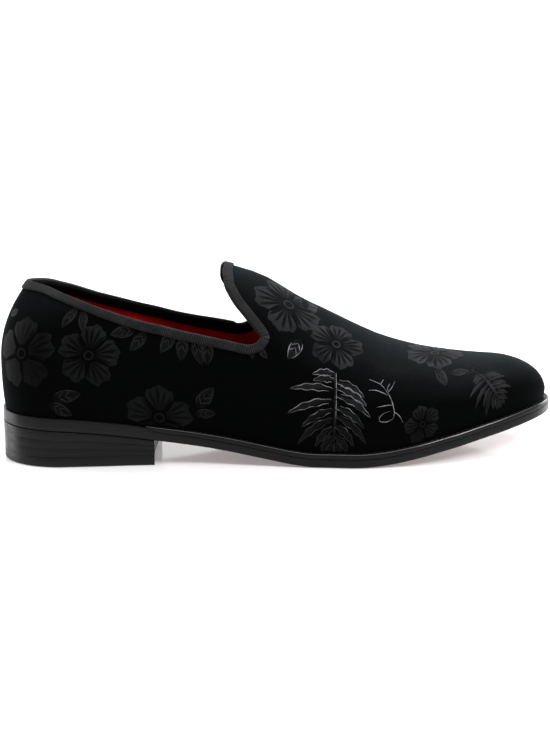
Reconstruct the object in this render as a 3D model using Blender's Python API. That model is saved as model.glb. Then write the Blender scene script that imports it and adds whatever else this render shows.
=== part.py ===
"""Velvet slipper loafer, a right shoe standing on its heel and forefoot.

+X runs from the heel to the toe, +Y is the wearer's left and so the inner side of this shoe,
+Z is up and the floor is at zero. The last is given by its feather line, the edge where upper
and sole meet, and by half sections that rise from it. Every piece takes its outline from that
feather line and its heights from the sole's underside.
"""

import math
from collections import namedtuple

import bpy
import numpy as np

# Sizes of the last, metres
LAST_LENGTH = 0.302
LAST_BACK = 0.0015
BALL_WIDTH = 0.0945
SEAT_WIDTH = 0.0626
INSTEP_HEIGHT = 0.0905
BACK_HEIGHT = 0.0675
BACK_LEAN = 0.015
TOE_SWING = 0.005
TONGUE_REACH = 0.0172
HEEL_RISE = 0.0208
TOE_SPRING = 0.0187

# Thicknesses and gaps, metres
WALL = 0.002
GAP = 0.0003
SEAT_THICKNESS = 0.007
OUTSOLE_THICKNESS = 0.0047
WELT_THICKNESS = 0.0026
WELT_SHELF = 0.0015
SOLE_LIP = 0.003
INSOLE_THICKNESS = 0.003
INSOLE_EDGE = 0.001
EDGE_CHAMFER = 0.0008

# Ribbon round the topline, metres
RIBBON_THICKNESS = 0.0009
RIBBON_OUTSIDE = 0.004
RIBBON_INSIDE = 0.0048
RIBBON_BAND = 0.0066

# Heel, metres
BREAST_OUTER = 0.082
BREAST_INNER = 0.088
BREAST_HOLLOW = 0.0015
TOP_PIECE_THICKNESS = 0.0055
TOP_PIECE_CHAMFER = 0.0006
HEEL_TAPER = 0.0004
LIFT_COUNT = 3
LIFT_GROOVE = 0.00025
BREAST_MARGIN = 0.003

# Mesh counts
STATIONS = 38
SKIN_ROWS = 10
BAND_ROWS = 2
TUCK_ROWS = 3
OUTLINE_POINTS = 240

# Shares of the last's length
HEEL_ROUND = 0.105
TOE_ROUND = 0.80
NOSE_ROUND = 0.905
LEAN_END = 0.36
CORNER_ALONG = 0.4605
SCARF_START, SCARF_END = 0.235, 0.285

# Other shares, powers and angles
OUTER, INNER = -1, 1
HALFWAY = 0.5
STATION_CROWDING = 0.5
STRAIGHT_START, STRAIGHT_END = 0.3, 0.5
NOSE_POWER = 2.2
LEAN_POWER = 2.1
WELT_START = 0.25
LIFT_EDGE = 0.02
SLOPE_STEP = 0.004
SIDE_END = 0.9999
TUCK_START = math.radians(38)
SHARP_ANGLE = math.radians(35)

# Sections of the last. along is a share of its length; outer and inner are half widths as shares of
# the width there, which goes from the seat's to the ball's by ball; swing is a share of the toe's.
# bulge and ridge are heights over the feather as shares of the instep's, and tuck_outer and
# tuck_inner are how far the wall stands out over the feather, as shares of the ball's width.
Section = namedtuple("Section", "along outer inner ball swing bulge ridge fullness tuck_outer tuck_inner")
SECTIONS = (
    Section(0.000, 0.500, 0.500, 0.00, 0.00, 0.290, 0.800, 2.00, 0.018, 0.018),
    Section(0.145, 0.500, 0.500, 0.00, 0.00, 0.260, 0.847, 2.00, 0.023, 0.023),
    Section(0.260, 0.478, 0.455, 0.07, 0.05, 0.222, 1.114, 2.00, 0.027, 0.037),
    Section(0.360, 0.445, 0.366, 0.30, 0.12, 0.220, 1.005, 2.00, 0.036, 0.060),
    Section(0.460, 0.460, 0.356, 0.66, 0.24, 0.198, 0.966, 2.00, 0.027, 0.046),
    Section(0.560, 0.492, 0.416, 0.94, 0.40, 0.155, 0.818, 2.02, 0.016, 0.022),
    Section(0.640, 0.524, 0.476, 1.00, 0.50, 0.132, 0.682, 2.04, 0.013, 0.013),
    Section(0.710, 0.514, 0.492, 1.00, 0.60, 0.118, 0.553, 2.08, 0.011, 0.011),
    Section(0.790, 0.462, 0.460, 1.00, 0.74, 0.102, 0.432, 2.14, 0.010, 0.010),
    Section(0.863, 0.402, 0.406, 1.00, 0.86, 0.085, 0.350, 2.20, 0.009, 0.009),
    Section(0.940, 0.364, 0.371, 1.00, 0.95, 0.070, 0.284, 2.24, 0.008, 0.008),
    Section(1.000, 0.330, 0.336, 1.00, 1.00, 0.055, 0.235, 2.24, 0.008, 0.008),
)

# The sole's underside: heights as shares of the heel's rise and of the toe's spring.
Bottom = namedtuple("Bottom", "along heel toe")
BOTTOM = (
    Bottom(-0.010, 1.000, 0.00),
    Bottom(0.080, 0.962, 0.00),
    Bottom(0.152, 0.878, 0.00),
    Bottom(0.276, 0.636, 0.00),
    Bottom(0.333, 0.515, 0.00),
    Bottom(0.402, 0.352, 0.00),
    Bottom(0.472, 0.160, 0.00),
    Bottom(0.515, 0.048, 0.00),
    Bottom(0.550, 0.000, 0.00),
    Bottom(0.630, 0.000, 0.00),
    Bottom(0.670, 0.000, 0.04),
    Bottom(0.724, 0.000, 0.17),
    Bottom(0.790, 0.000, 0.37),
    Bottom(0.856, 0.000, 0.58),
    Bottom(0.922, 0.000, 0.78),
    Bottom(0.972, 0.000, 0.92),
    Bottom(1.020, 0.000, 1.03),
)

# Topline from the back to the throat's corner: height over the feather as a share of the back's.
Collar = namedtuple("Collar", "along height")
COLLAR = (
    Collar(0.000, 1.013),
    Collar(0.030, 0.998),
    Collar(0.070, 0.956),
    Collar(0.110, 0.917),
    Collar(0.160, 0.873),
    Collar(0.250, 0.820),
    Collar(0.330, 0.781),
    Collar(0.400, 0.764),
    Collar(0.430, 0.759),
    Collar(0.450, 0.790),
    Collar(CORNER_ALONG, 0.850),
)

# Edge of the tongue from the throat's corner to its peak: turn is the share of the way round the
# section up to the ridge, back the share of the tongue's reach toward the heel.
Tongue = namedtuple("Tongue", "part turn back")
TONGUE = (
    Tongue(0.00, 0.00, 0.00),
    Tongue(0.08, 0.045, 0.11),
    Tongue(0.22, 0.15, 0.43),
    Tongue(0.42, 0.32, 0.86),
    Tongue(0.60, 0.51, 1.055),
    Tongue(0.78, 0.73, 1.060),
    Tongue(0.90, 0.88, 1.005),
    Tongue(0.96, 0.95, 0.980),
    Tongue(1.00, 1.00, 0.975),
)

# How far the sole stands out beyond the feather, as shares of its lip at the toe
Lip = namedtuple("Lip", "along out")
LIP = (
    Lip(0.00, 0.40),
    Lip(0.22, 0.40),
    Lip(0.32, 0.73),
    Lip(0.60, 0.93),
    Lip(1.00, 1.00),
)

Look = namedtuple("Look", "colour roughness metallic")
VELVET = Look((0.006, 0.006, 0.007), 0.95, 0.0)
RIBBON = Look((0.030, 0.030, 0.032), 0.70, 0.0)
RED_LINING = Look((0.160, 0.004, 0.008), 0.80, 0.0)
SOLE_BLACK = Look((0.016, 0.016, 0.017), 0.35, 0.0)
HEEL_BLACK = Look((0.014, 0.014, 0.015), 0.40, 0.0)
RUBBER_BLACK = Look((0.010, 0.010, 0.011), 0.60, 0.0)


def smooth(rows, column, along):
    """Value of a table's column at a place, by a monotone cubic through its rows."""
    places = np.array([row[0] for row in rows], float)
    values = np.array([getattr(row, column) for row in rows], float)
    steps = np.diff(places)
    slopes = np.diff(values) / steps
    tangents = np.zeros(len(rows))
    tangents[0], tangents[-1] = slopes[0], slopes[-1]
    for i in range(1, len(rows) - 1):
        if slopes[i - 1] * slopes[i] > 0:
            before, after = 2 * steps[i] + steps[i - 1], steps[i] + 2 * steps[i - 1]
            tangents[i] = (before + after) / (before / slopes[i - 1] + after / slopes[i])
    along = min(max(along, places[0]), places[-1])
    i = min(int(np.searchsorted(places, along, side="right")) - 1, len(steps) - 1)
    i = max(i, 0)
    t = (along - places[i]) / steps[i]
    start = (1 + 2 * t) * (1 - t) ** 2 * values[i] + t * t * (3 - 2 * t) * values[i + 1]
    bend = t * (1 - t) ** 2 * tangents[i] - t * t * (1 - t) * tangents[i + 1]
    return start + bend * steps[i]


def rounding(share, power):
    """Falls from 1 at share 0 to 0 at share 1 along a rounded end."""
    share = min(max(share, 0.0), 1.0)
    return (1 - share**power) ** (1 / power)


def ease(share):
    share = min(max(share, 0.0), 1.0)
    return share * share * (3 - 2 * share)


def x_at(along):
    return LAST_BACK + along * LAST_LENGTH


def along_at(x):
    return (x - LAST_BACK) / LAST_LENGTH


def centre(along):
    """The last's centre line, which swings to the inner side toward the toe."""
    return TOE_SWING * smooth(SECTIONS, "swing", along)


def half_width(side, along):
    """From the centre line to the feather on one side."""
    width = SEAT_WIDTH + (BALL_WIDTH - SEAT_WIDTH) * smooth(SECTIONS, "ball", along)
    share = smooth(SECTIONS, "outer" if side == OUTER else "inner", along)
    heel = rounding((HEEL_ROUND - along) / HEEL_ROUND, 2.0)
    toe = rounding((along - TOE_ROUND) / (1 - TOE_ROUND), 2.0)
    return width * share * heel * toe


def feather(turn):
    """Plan point of the feather: turn 0 is the heel's back, 1 the toe and 2 the back again."""
    turn = turn % 2
    along = (1 - math.cos(math.pi * turn)) / 2
    side = OUTER if turn < 1 else INNER
    return np.array([x_at(along), centre(along) + side * half_width(side, along)])


def beside(turn, out):
    """Plan point at a distance outside the feather."""
    path = feather(turn + SLOPE_STEP) - feather(turn - SLOPE_STEP)
    path = path / np.linalg.norm(path)
    return feather(turn) + out * np.array([path[1], -path[0]])


def turn_along(turn):
    return (1 - math.cos(math.pi * (turn % 2))) / 2


def lip(turn):
    return SOLE_LIP * smooth(LIP, "out", turn_along(turn))


def tuck(turn):
    """How far the wall stands out over the feather, the same from both sides at the ends."""
    along = turn_along(turn)
    outer = smooth(SECTIONS, "tuck_outer", along)
    inner = smooth(SECTIONS, "tuck_inner", along)
    return BALL_WIDTH * (outer if turn % 2 < 1 else inner)


def underside(x):
    """Height of the sole's underside over the floor."""
    along = along_at(x)
    return HEEL_RISE * smooth(BOTTOM, "heel", along) + TOE_SPRING * smooth(BOTTOM, "toe", along)


def scarf(x):
    """0 at the heel seat, 1 where the welt has its full thickness."""
    return ease((along_at(x) - SCARF_START) / (SCARF_END - SCARF_START))


def rim_height(x):
    """Top of the outsole's edge over its underside."""
    return SEAT_THICKNESS + (OUTSOLE_THICKNESS - SEAT_THICKNESS) * scarf(x)


# Top of the outsole's body, and of the welt, over the underside
DECK_HEIGHT = OUTSOLE_THICKNESS + GAP + WELT_THICKNESS


def feather_height(x):
    """Foot of the upper's wall over the floor: on the rim at the seat, on the welt beyond."""
    return underside(x) + rim_height(x) + GAP + (GAP + WELT_THICKNESS) * scarf(x)


def bulge_height(x):
    return feather_height(x) + INSTEP_HEIGHT * smooth(SECTIONS, "bulge", along_at(x))


def ridge_height(x):
    """Height of the last's ridge, rounded down at the nose."""
    bulge = bulge_height(x)
    ridge = feather_height(x) + INSTEP_HEIGHT * smooth(SECTIONS, "ridge", along_at(x))
    return bulge + (ridge - bulge) * rounding((along_at(x) - NOSE_ROUND) / (1 - NOSE_ROUND), NOSE_POWER)


def widest_outlines():
    """Plan outlines of the wall at its widest, as tables of x and half width for each side."""
    outlines = {}
    shares = [i / OUTLINE_POINTS for i in range(OUTLINE_POINTS + 1)]
    for side, start in ((OUTER, 0.0), (INNER, 1.0)):
        points = [beside(start + share, tuck(start + min(share, SIDE_END))) for share in shares]
        points = sorted(points, key=lambda point: point[0])
        xs = np.array([point[0] for point in points])
        halves = np.array([abs(point[1] - centre(along_at(point[0]))) for point in points])
        outlines[side] = (xs, halves)
    return outlines


WIDEST = widest_outlines()


def widest(side, x):
    return float(np.interp(x, *WIDEST[side]))


def lean(x, z):
    """Forward lean of the counter over its bulge, which fades out before the waist."""
    bulge, top = bulge_height(x), feather_height(x) + BACK_HEIGHT
    rise = max(0.0, (z - bulge) / (top - bulge))
    return BACK_LEAN * rise**LEAN_POWER * (1 - ease(along_at(x) / LEAN_END))


def skin(side, x, angle):
    """Point of the upper's outside: angle 0 is the bulge, a quarter turn the ridge."""
    power = 2 / smooth(SECTIONS, "fullness", along_at(x))
    across = math.cos(angle)
    if across < 0:
        side = -side
    y = centre(along_at(x)) + side * widest(side, x) * abs(across) ** power
    rise = abs(math.sin(angle)) ** power
    z = bulge_height(x) + (ridge_height(x) - bulge_height(x)) * rise
    return np.array([x + lean(x, z), y, z])


def skin_frame(side, x, angle):
    """Point, outward normal and the two slopes of the outside there."""
    dx, da = SLOPE_STEP * BALL_WIDTH, SLOPE_STEP
    point = skin(side, x, angle)
    along = (skin(side, x + dx, angle) - skin(side, x - dx, angle)) / (2 * dx)
    around = (skin(side, x, angle + da) - skin(side, x, angle - da)) / (2 * da)
    normal = np.cross(along, around) * -side
    return point, normal / np.linalg.norm(normal), along, around


def topline(side, part):
    """Place of the topline in the last's terms, from the back at 0 to the tongue's peak at 1."""
    corner_x = x_at(CORNER_ALONG)
    corner_z = feather_height(corner_x) + BACK_HEIGHT * COLLAR[-1].height
    corner_angle = angle_at(corner_x, corner_z)
    if part <= HALFWAY:
        turn = station_turn(part)
        along = along_at(beside(turn, tuck(turn))[0])
        along = along * (1 - (HALFWAY - CORNER_ALONG) / HALFWAY * (along / HALFWAY) ** 2)
        x = x_at(along)
        z = feather_height(x) + BACK_HEIGHT * smooth(COLLAR, "height", along)
        return x, angle_at(x, z)
    part = (part - HALFWAY) / HALFWAY
    angle = corner_angle + (math.pi / 2 - corner_angle) * smooth(TONGUE, "turn", part)
    return corner_x - TONGUE_REACH * smooth(TONGUE, "back", part), angle


def edge(side, part):
    """Place on the skin of the topline, its point, outward normal and the way down from it, with
    the steps in x and angle that follow the skin down for each metre."""
    step = SLOPE_STEP
    ahead = (side, part + step) if part + step <= 1 else (-side, 2 - part - step)
    behind = (side, part - step) if part >= step else (-side, step - part)
    path = skin(ahead[0], *topline(*ahead)) - skin(behind[0], *topline(*behind))
    x, angle = topline(side, part)
    point, normal, along, around = skin_frame(side, x, angle)
    down = np.cross(path, normal) * -side
    down = down / np.linalg.norm(down)
    slopes = np.stack([along, around], axis=1)
    steps = np.linalg.lstsq(slopes, down, rcond=None)[0]
    return (x, angle), point, normal, down, steps


def angle_at(x, z):
    """Angle on the section at which the outside reaches a height."""
    bulge, ridge = bulge_height(x), ridge_height(x)
    rise = min(max((z - bulge) / (ridge - bulge), 0.0), 1.0)
    return math.asin(rise ** (smooth(SECTIONS, "fullness", along_at(x)) / 2))


def station_turn(part):
    """Stations crowd together at heel, throat and toe."""
    return part - STATION_CROWDING * math.sin(4 * math.pi * part) / (4 * math.pi)


def stations():
    """Side, part of the way from back to toe, and turn of each station round the shoe."""
    ring = [(OUTER, i / STATIONS, station_turn(i / STATIONS)) for i in range(STATIONS + 1)]
    back = [(INNER, i / STATIONS, 2 - station_turn(i / STATIONS)) for i in range(STATIONS - 1, 0, -1)]
    return ring + back


def column(side, part, turn):
    """One line of the upper's outside from the feather up to the topline."""
    foot = beside(turn, 0.0)
    wide = beside(turn, tuck(turn))
    points = []
    start_z, wide_z = feather_height(foot[0]), bulge_height(wide[0])
    for row in range(TUCK_ROWS):
        angle = TUCK_START + (math.pi / 2 - TUCK_START) * row / TUCK_ROWS
        out = (math.sin(angle) - math.sin(TUCK_START)) / (1 - math.sin(TUCK_START))
        up = 1 - math.cos(angle) / math.cos(TUCK_START)
        plan = foot + (wide - foot) * out
        points.append(np.array([plan[0], plan[1], start_z + (wide_z - start_z) * up]))
    (edge_x, edge_angle), _, _, _, steps = edge(side, part)
    top_x, top_angle = np.array([edge_x, edge_angle]) + steps * RIBBON_BAND
    power = 2 / smooth(SECTIONS, "fullness", along_at(top_x))
    top_y = centre(along_at(top_x)) + side * widest(side, top_x) * math.cos(top_angle) ** power
    straight = ease((part - STRAIGHT_START) / (STRAIGHT_END - STRAIGHT_START))
    for row in range(SKIN_ROWS):
        angle = top_angle * row / SKIN_ROWS
        inward = (1 - math.cos(angle) ** power) / (1 - math.cos(top_angle) ** power)
        x = wide[0] + (top_x - wide[0]) * inward
        y = wide[1] + (top_y - wide[1]) * inward
        here = 2 / smooth(SECTIONS, "fullness", along_at(x))
        half = widest(side, x)
        share = min(abs(y - centre(along_at(x))) / half, 1.0) if half else 1.0
        turned = math.acos(share ** (1 / here))
        points.append(skin(side, x, angle + (turned - angle) * straight))
    for row in range(BAND_ROWS + 1):
        down = RIBBON_BAND * (1 - row / BAND_ROWS)
        points.append(skin(side, edge_x + steps[0] * down, edge_angle + steps[1] * down))
    return points


def grid_normals(grid):
    """Outward normals of a grid of rows that each run round the shoe."""
    rows, count = len(grid), len(grid[0])
    normals = np.zeros((rows, count, 3))
    for r in range(rows):
        above, below = grid[min(r + 1, rows - 1)], grid[max(r - 1, 0)]
        for c in range(count):
            along = grid[r][(c + 1) % count] - grid[r][c - 1]
            normal = np.cross(along, above[c] - below[c])
            normals[r][c] = normal / np.linalg.norm(normal)
    return normals


def show(name, points, faces, look):
    """Object from points and faces, with its own material."""
    mesh = bpy.data.meshes.new(name)
    mesh.from_pydata([tuple(map(float, point)) for point in points], [], faces)
    mesh.validate()
    mesh.update()
    material = bpy.data.materials.new(name + "_look")
    material.use_nodes = True
    shader = material.node_tree.nodes["Principled BSDF"]
    shader.inputs["Base Color"].default_value = (*look.colour, 1.0)
    shader.inputs["Roughness"].default_value = look.roughness
    shader.inputs["Metallic"].default_value = look.metallic
    mesh.materials.append(material)
    mesh.shade_smooth()
    mesh.set_sharp_from_angle(angle=SHARP_ANGLE)
    thing = bpy.data.objects.new(name, mesh)
    bpy.context.collection.objects.link(thing)
    return thing


def strips(rings, closed_rings, first=0):
    """Quads between each ring of points and the next."""
    faces = []
    count = len(rings[0])
    pairs = len(rings) if closed_rings else len(rings) - 1
    for r in range(pairs):
        low, high = first + r * count, first + (r + 1) % len(rings) * count
        for c in range(count):
            after = (c + 1) % count
            faces.append((low + c, low + after, high + after, high + c))
    return faces


def ladder(first, count, up):
    """Faces that close a ring by rungs between its two sides, from the heel to the other end."""
    faces = []
    half = count // 2
    for rung in range(half):
        near, far = rung, (count - rung) % count
        after, beyond = rung + 1, (count - rung - 1) % count
        face = [first + near, first + after, first + beyond, first + far]
        face = list(dict.fromkeys(face))
        if len(face) > 2:
            faces.append(tuple(face if up else face[::-1]))
    return faces


def closed_solid(name, rings, look):
    """Solid from rings listed from its underside up, closed by rungs at both ends."""
    count = len(rings[0])
    points = [point for ring in rings for point in ring]
    faces = strips(rings, False) + ladder(0, count, False)
    faces += ladder((len(rings) - 1) * count, count, True)
    return show(name, points, faces, look)


def plan_ring(out, height):
    """Ring of points round the whole shoe: out and height are functions of turn and x."""
    ring = []
    for side, part, turn in stations():
        x, y = beside(turn, out(turn))
        ring.append(np.array([x, y, underside(x) + height(x)]))
    return ring


def make_upper():
    columns = [column(*station) for station in stations()]
    outside = [[points[row] for points in columns] for row in range(len(columns[0]))]
    normals = grid_normals(outside)
    inside = []
    for row, ring in enumerate(outside):
        level = ease(row / TUCK_ROWS)
        walls = []
        for point, normal in zip(ring, normals[row]):
            inward = -normal * np.array([1.0, 1.0, level])
            walls.append(point + WALL * inward / np.linalg.norm(inward))
        inside.append(walls)
    for place, (side, part, turn) in enumerate(stations()):
        (x, angle), _, _, _, steps = edge(side, part)
        for row in range(BAND_ROWS + 1):
            down = RIBBON_BAND * row / BAND_ROWS
            point, normal, _, _ = skin_frame(side, x + steps[0] * down, angle + steps[1] * down)
            inside[-1 - row][place] = point - WALL * normal
    rings = outside + inside[::-1]
    points = [point for ring in rings for point in ring]
    return show("upper", points, strips(rings, True), VELVET)


def ribbon_section():
    """Ribbon folded over the edge: distance down the upper's skin and height off it."""
    near, far = GAP, GAP + RIBBON_THICKNESS
    inner_near, inner_far = -WALL - GAP, -WALL - GAP - RIBBON_THICKNESS
    fold = []
    for share in (0.25, 0.5, 0.75):
        angle = math.pi * share
        fold.append((-far * math.sin(angle), -WALL / 2 + (WALL / 2 + far) * math.cos(angle)))
    outside = [(RIBBON_OUTSIDE, far), (RIBBON_OUTSIDE / 2, far), (0.0, far)]
    inside = [(0.0, inner_far), (RIBBON_INSIDE / 2, inner_far), (RIBBON_INSIDE, inner_far)]
    back = [(RIBBON_INSIDE, inner_near), (RIBBON_INSIDE / 2, inner_near), (-GAP, inner_near)]
    front = [(-GAP, near), (RIBBON_OUTSIDE / 2, near), (RIBBON_OUTSIDE, near)]
    return outside + fold + inside + back + front


def make_topline_binding():
    columns = []
    for side, part, turn in stations():
        (x, angle), point, normal, down, steps = edge(side, part)
        ribbon = []
        for distance, off in ribbon_section():
            if distance > 0:
                at = skin_frame(side, x + steps[0] * distance, angle + steps[1] * distance)
                ribbon.append(at[0] + off * at[1])
            else:
                ribbon.append(point + distance * down + off * normal)
        columns.append(ribbon)
    rings = [[ribbon[row] for ribbon in columns] for row in range(len(columns[0]))]
    points = [point for ring in rings for point in ring]
    return show("topline_binding", points, strips(rings, True), RIBBON)


def deck_inset(turn):
    """Outsole's body inside the feather: within the upper's wall, then within the welt."""
    x = beside(turn, 0.0)[0]
    return -(WALL + GAP) - WELT_SHELF * scarf(x)


def make_outsole():
    rings = [
        plan_ring(lambda turn: lip(turn) - EDGE_CHAMFER, lambda x: 0.0),
        plan_ring(lip, lambda x: EDGE_CHAMFER),
        plan_ring(lip, rim_height),
        plan_ring(deck_inset, rim_height),
        plan_ring(deck_inset, lambda x: DECK_HEIGHT),
    ]
    return closed_solid("outsole", rings, SOLE_BLACK)


def make_insole():
    inset = -(WALL + GAP)
    bottom = DECK_HEIGHT + GAP
    rings = [
        plan_ring(lambda turn: inset, lambda x: bottom),
        plan_ring(lambda turn: inset, lambda x: bottom + INSOLE_THICKNESS - INSOLE_EDGE),
        plan_ring(lambda turn: inset - INSOLE_EDGE, lambda x: bottom + INSOLE_THICKNESS),
    ]
    return closed_solid("insole", rings, RED_LINING)


def make_welt():
    """Strip from breast to breast round the forepart, thinned to a scarf at both ends."""
    turns = [turn for side, part, turn in stations()]
    first = next(i for i, turn in enumerate(turns) if scarf(beside(turn, 0.0)[0]) > WELT_START)
    run = turns[first : len(turns) - first + 1]
    points = []
    for turn in run:
        for out in (lip(turn), deck_inset(turn) + GAP):
            x, y = beside(turn, out)
            low, high = underside(x) + rim_height(x) + GAP, underside(x) + DECK_HEIGHT
            pair = (low, high) if out > 0 else (high, low)
            points += [np.array([x, y, z]) for z in pair]
    faces = []
    for i in range(len(run) - 1):
        for k in range(4):
            a, b = 4 * i + k, 4 * i + (k + 1) % 4
            faces.append((a, a + 4, b + 4, b))
    last = 4 * (len(run) - 1)
    faces += [(0, 1, 2, 3), (last + 3, last + 2, last + 1, last)]
    return show("welt", points, faces, SOLE_BLACK)


def breast_x(y):
    """Front face of the heel, its inner corner forward and its middle a little hollow."""
    half = SEAT_WIDTH / 2
    share = min(max(y / half, -1.0), 1.0)
    line = (BREAST_OUTER + BREAST_INNER) / 2 + (BREAST_INNER - BREAST_OUTER) / 2 * share
    return line - BREAST_HOLLOW * (1 - share * share)


def heel_ring(inset, height):
    """Ring round the heel, cut off at its breast; height is a function of x."""
    ring = []
    for side, part, turn in stations():
        x, y = beside(turn, lip(turn) - inset)
        if x < breast_x(y) - BREAST_MARGIN:
            ring.append((x, y))
    half = (len(ring) + 1) // 2
    outer, inner = ring[:half], ring[half:]
    corners = []
    for side in (OUTER, INNER):
        turn = math.acos(1 - 2 * along_at(breast_x(side * SEAT_WIDTH / 2))) / math.pi
        y = beside(turn if side == OUTER else 2 - turn, lip(turn) - inset)[1]
        corners.append((breast_x(y), y))
    middle = (breast_x(0.0), 0.0)
    ring = outer + [corners[0], middle, corners[1]] + inner
    return [np.array([x, y, height(x)]) for x, y in ring]


def make_heel_block():
    low = TOP_PIECE_THICKNESS + GAP

    def level(share):
        return lambda x: low + (underside(x) - GAP - low) * share

    rings = []
    for lift in range(LIFT_COUNT):
        start, end = lift / LIFT_COUNT, (lift + 1) / LIFT_COUNT
        taper = [HEEL_TAPER * (1 - share) for share in (start, end)]
        rings.append(heel_ring(taper[0], level(start + (LIFT_EDGE if lift else 0.0))))
        rings.append(heel_ring(taper[1], level(end - (LIFT_EDGE if lift < LIFT_COUNT - 1 else 0.0))))
        if lift < LIFT_COUNT - 1:
            rings.append(heel_ring(taper[1] + LIFT_GROOVE, level(end)))
    return closed_solid("heel_block", rings, HEEL_BLACK)


def make_heel_top_piece():
    rings = [
        heel_ring(HEEL_TAPER + TOP_PIECE_CHAMFER, lambda x: 0.0),
        heel_ring(HEEL_TAPER, lambda x: TOP_PIECE_CHAMFER),
        heel_ring(HEEL_TAPER, lambda x: TOP_PIECE_THICKNESS),
    ]
    return closed_solid("heel_top_piece", rings, RUBBER_BLACK)


for thing in list(bpy.data.objects):
    bpy.data.objects.remove(thing, do_unlink=True)

pieces = [
    make_upper(),
    make_topline_binding(),
    make_insole(),
    make_welt(),
    make_outsole(),
    make_heel_block(),
    make_heel_top_piece(),
]
# The origin goes to the middle of the shoe's length and width, on the floor.
corners = np.array([tuple(vertex.co) for piece in pieces for vertex in piece.data.vertices])
middle = (corners.min(axis=0) + corners.max(axis=0)) / 2
for piece in pieces:
    piece.location = (-middle[0], -middle[1], 0.0)
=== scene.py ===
# %% Dressing a velvet slipper loafer
import math
from collections import namedtuple

import bpy
import numpy as np
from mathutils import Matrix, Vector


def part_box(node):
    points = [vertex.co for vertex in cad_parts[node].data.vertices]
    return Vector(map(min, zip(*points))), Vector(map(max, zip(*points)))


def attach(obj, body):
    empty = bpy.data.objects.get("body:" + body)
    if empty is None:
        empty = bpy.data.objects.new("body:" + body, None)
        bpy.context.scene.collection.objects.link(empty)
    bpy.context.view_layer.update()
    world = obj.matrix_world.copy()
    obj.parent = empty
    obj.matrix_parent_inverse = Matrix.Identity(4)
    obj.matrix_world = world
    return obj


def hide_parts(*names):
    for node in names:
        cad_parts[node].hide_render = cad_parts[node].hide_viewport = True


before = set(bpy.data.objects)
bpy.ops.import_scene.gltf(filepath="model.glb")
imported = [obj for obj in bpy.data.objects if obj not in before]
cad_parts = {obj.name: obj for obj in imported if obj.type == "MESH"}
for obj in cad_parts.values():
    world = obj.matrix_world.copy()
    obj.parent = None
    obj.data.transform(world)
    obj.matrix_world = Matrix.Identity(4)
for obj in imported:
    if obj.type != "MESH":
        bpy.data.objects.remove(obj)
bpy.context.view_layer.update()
print("CAD nodes:", sorted(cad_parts))

# %% [markdown]
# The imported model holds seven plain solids. Each is a real piece of the shoe: the velvet upper, the
# ribbon over its topline, the red sock, the welt, the outsole, the stacked heel and its rubber.
# This script builds the same last again with smooth maths, so that every dressed piece follows the
# same surface, only finer. Sizes are in metres, with the heel's back near zero until the end, when
# each piece is moved by the frame's own offset.

# %% Sizes of the last
LAST_LENGTH = 0.302
LAST_BACK = 0.0015
BALL_WIDTH = 0.0945
SEAT_WIDTH = 0.0626
INSTEP_HEIGHT = 0.0905
BACK_HEIGHT = 0.0675
BACK_LEAN = 0.015
TOE_SWING = 0.005
TONGUE_REACH = 0.0172
HEEL_RISE = 0.0208
TOE_SPRING = 0.0187
WALL = 0.002
GAP = 0.0003
SEAT_THICKNESS = 0.007
OUTSOLE_THICKNESS = 0.0047
WELT_THICKNESS = 0.0026
WELT_SHELF = 0.0015
SOLE_LIP = 0.003
INSOLE_THICKNESS = 0.003
RIBBON_THICKNESS = 0.0009
RIBBON_OUTSIDE = 0.004
RIBBON_INSIDE = 0.0048
RIBBON_BAND = 0.0066
BREAST_OUTER = 0.082
BREAST_INNER = 0.088
BREAST_HOLLOW = 0.0015
TOP_PIECE_THICKNESS = 0.0055
HEEL_TAPER = 0.0004
LIFT_COUNT = 3

OUTER, INNER = -1, 1
HEEL_ROUND, TOE_ROUND, NOSE_ROUND, NOSE_POWER = 0.105, 0.80, 0.905, 2.2
LEAN_END, LEAN_POWER = 0.36, 2.1
TUCK_START = math.radians(38)
CORNER_ALONG = 0.4605
SCARF_START, SCARF_END = 0.235, 0.285
STATION_CROWDING = 0.5

# %% [markdown]
# A last is cut to sections, so the short tables below give each section's half widths, heights and
# fullness as shares of the sizes above. They are the tables of the CAD part. A monotone cubic runs
# through each column, because a straight line between sections would leave flats on the leather.

# %% Tables of the last
def table(columns, *rows):
    """Rows whose columns have names."""
    row_kind = namedtuple("Row", columns)
    return tuple(row_kind(*row) for row in rows)


SECTIONS = table(
    "along outer inner ball swing bulge ridge fullness tuck_outer tuck_inner",
    (0.000, 0.500, 0.500, 0.00, 0.00, 0.290, 0.800, 2.00, 0.018, 0.018),
    (0.145, 0.500, 0.500, 0.00, 0.00, 0.260, 0.847, 2.00, 0.023, 0.023),
    (0.260, 0.478, 0.455, 0.07, 0.05, 0.222, 1.114, 2.00, 0.027, 0.037),
    (0.360, 0.445, 0.366, 0.30, 0.12, 0.220, 1.005, 2.00, 0.036, 0.060),
    (0.460, 0.460, 0.356, 0.66, 0.24, 0.198, 0.966, 2.00, 0.027, 0.046),
    (0.560, 0.492, 0.416, 0.94, 0.40, 0.155, 0.818, 2.02, 0.016, 0.022),
    (0.640, 0.524, 0.476, 1.00, 0.50, 0.132, 0.682, 2.04, 0.013, 0.013),
    (0.710, 0.514, 0.492, 1.00, 0.60, 0.118, 0.553, 2.08, 0.011, 0.011),
    (0.790, 0.462, 0.460, 1.00, 0.74, 0.102, 0.432, 2.14, 0.010, 0.010),
    (0.863, 0.402, 0.406, 1.00, 0.86, 0.085, 0.350, 2.20, 0.009, 0.009),
    (0.940, 0.364, 0.371, 1.00, 0.95, 0.070, 0.284, 2.24, 0.008, 0.008),
    (1.000, 0.330, 0.336, 1.00, 1.00, 0.055, 0.235, 2.24, 0.008, 0.008),
)
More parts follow.
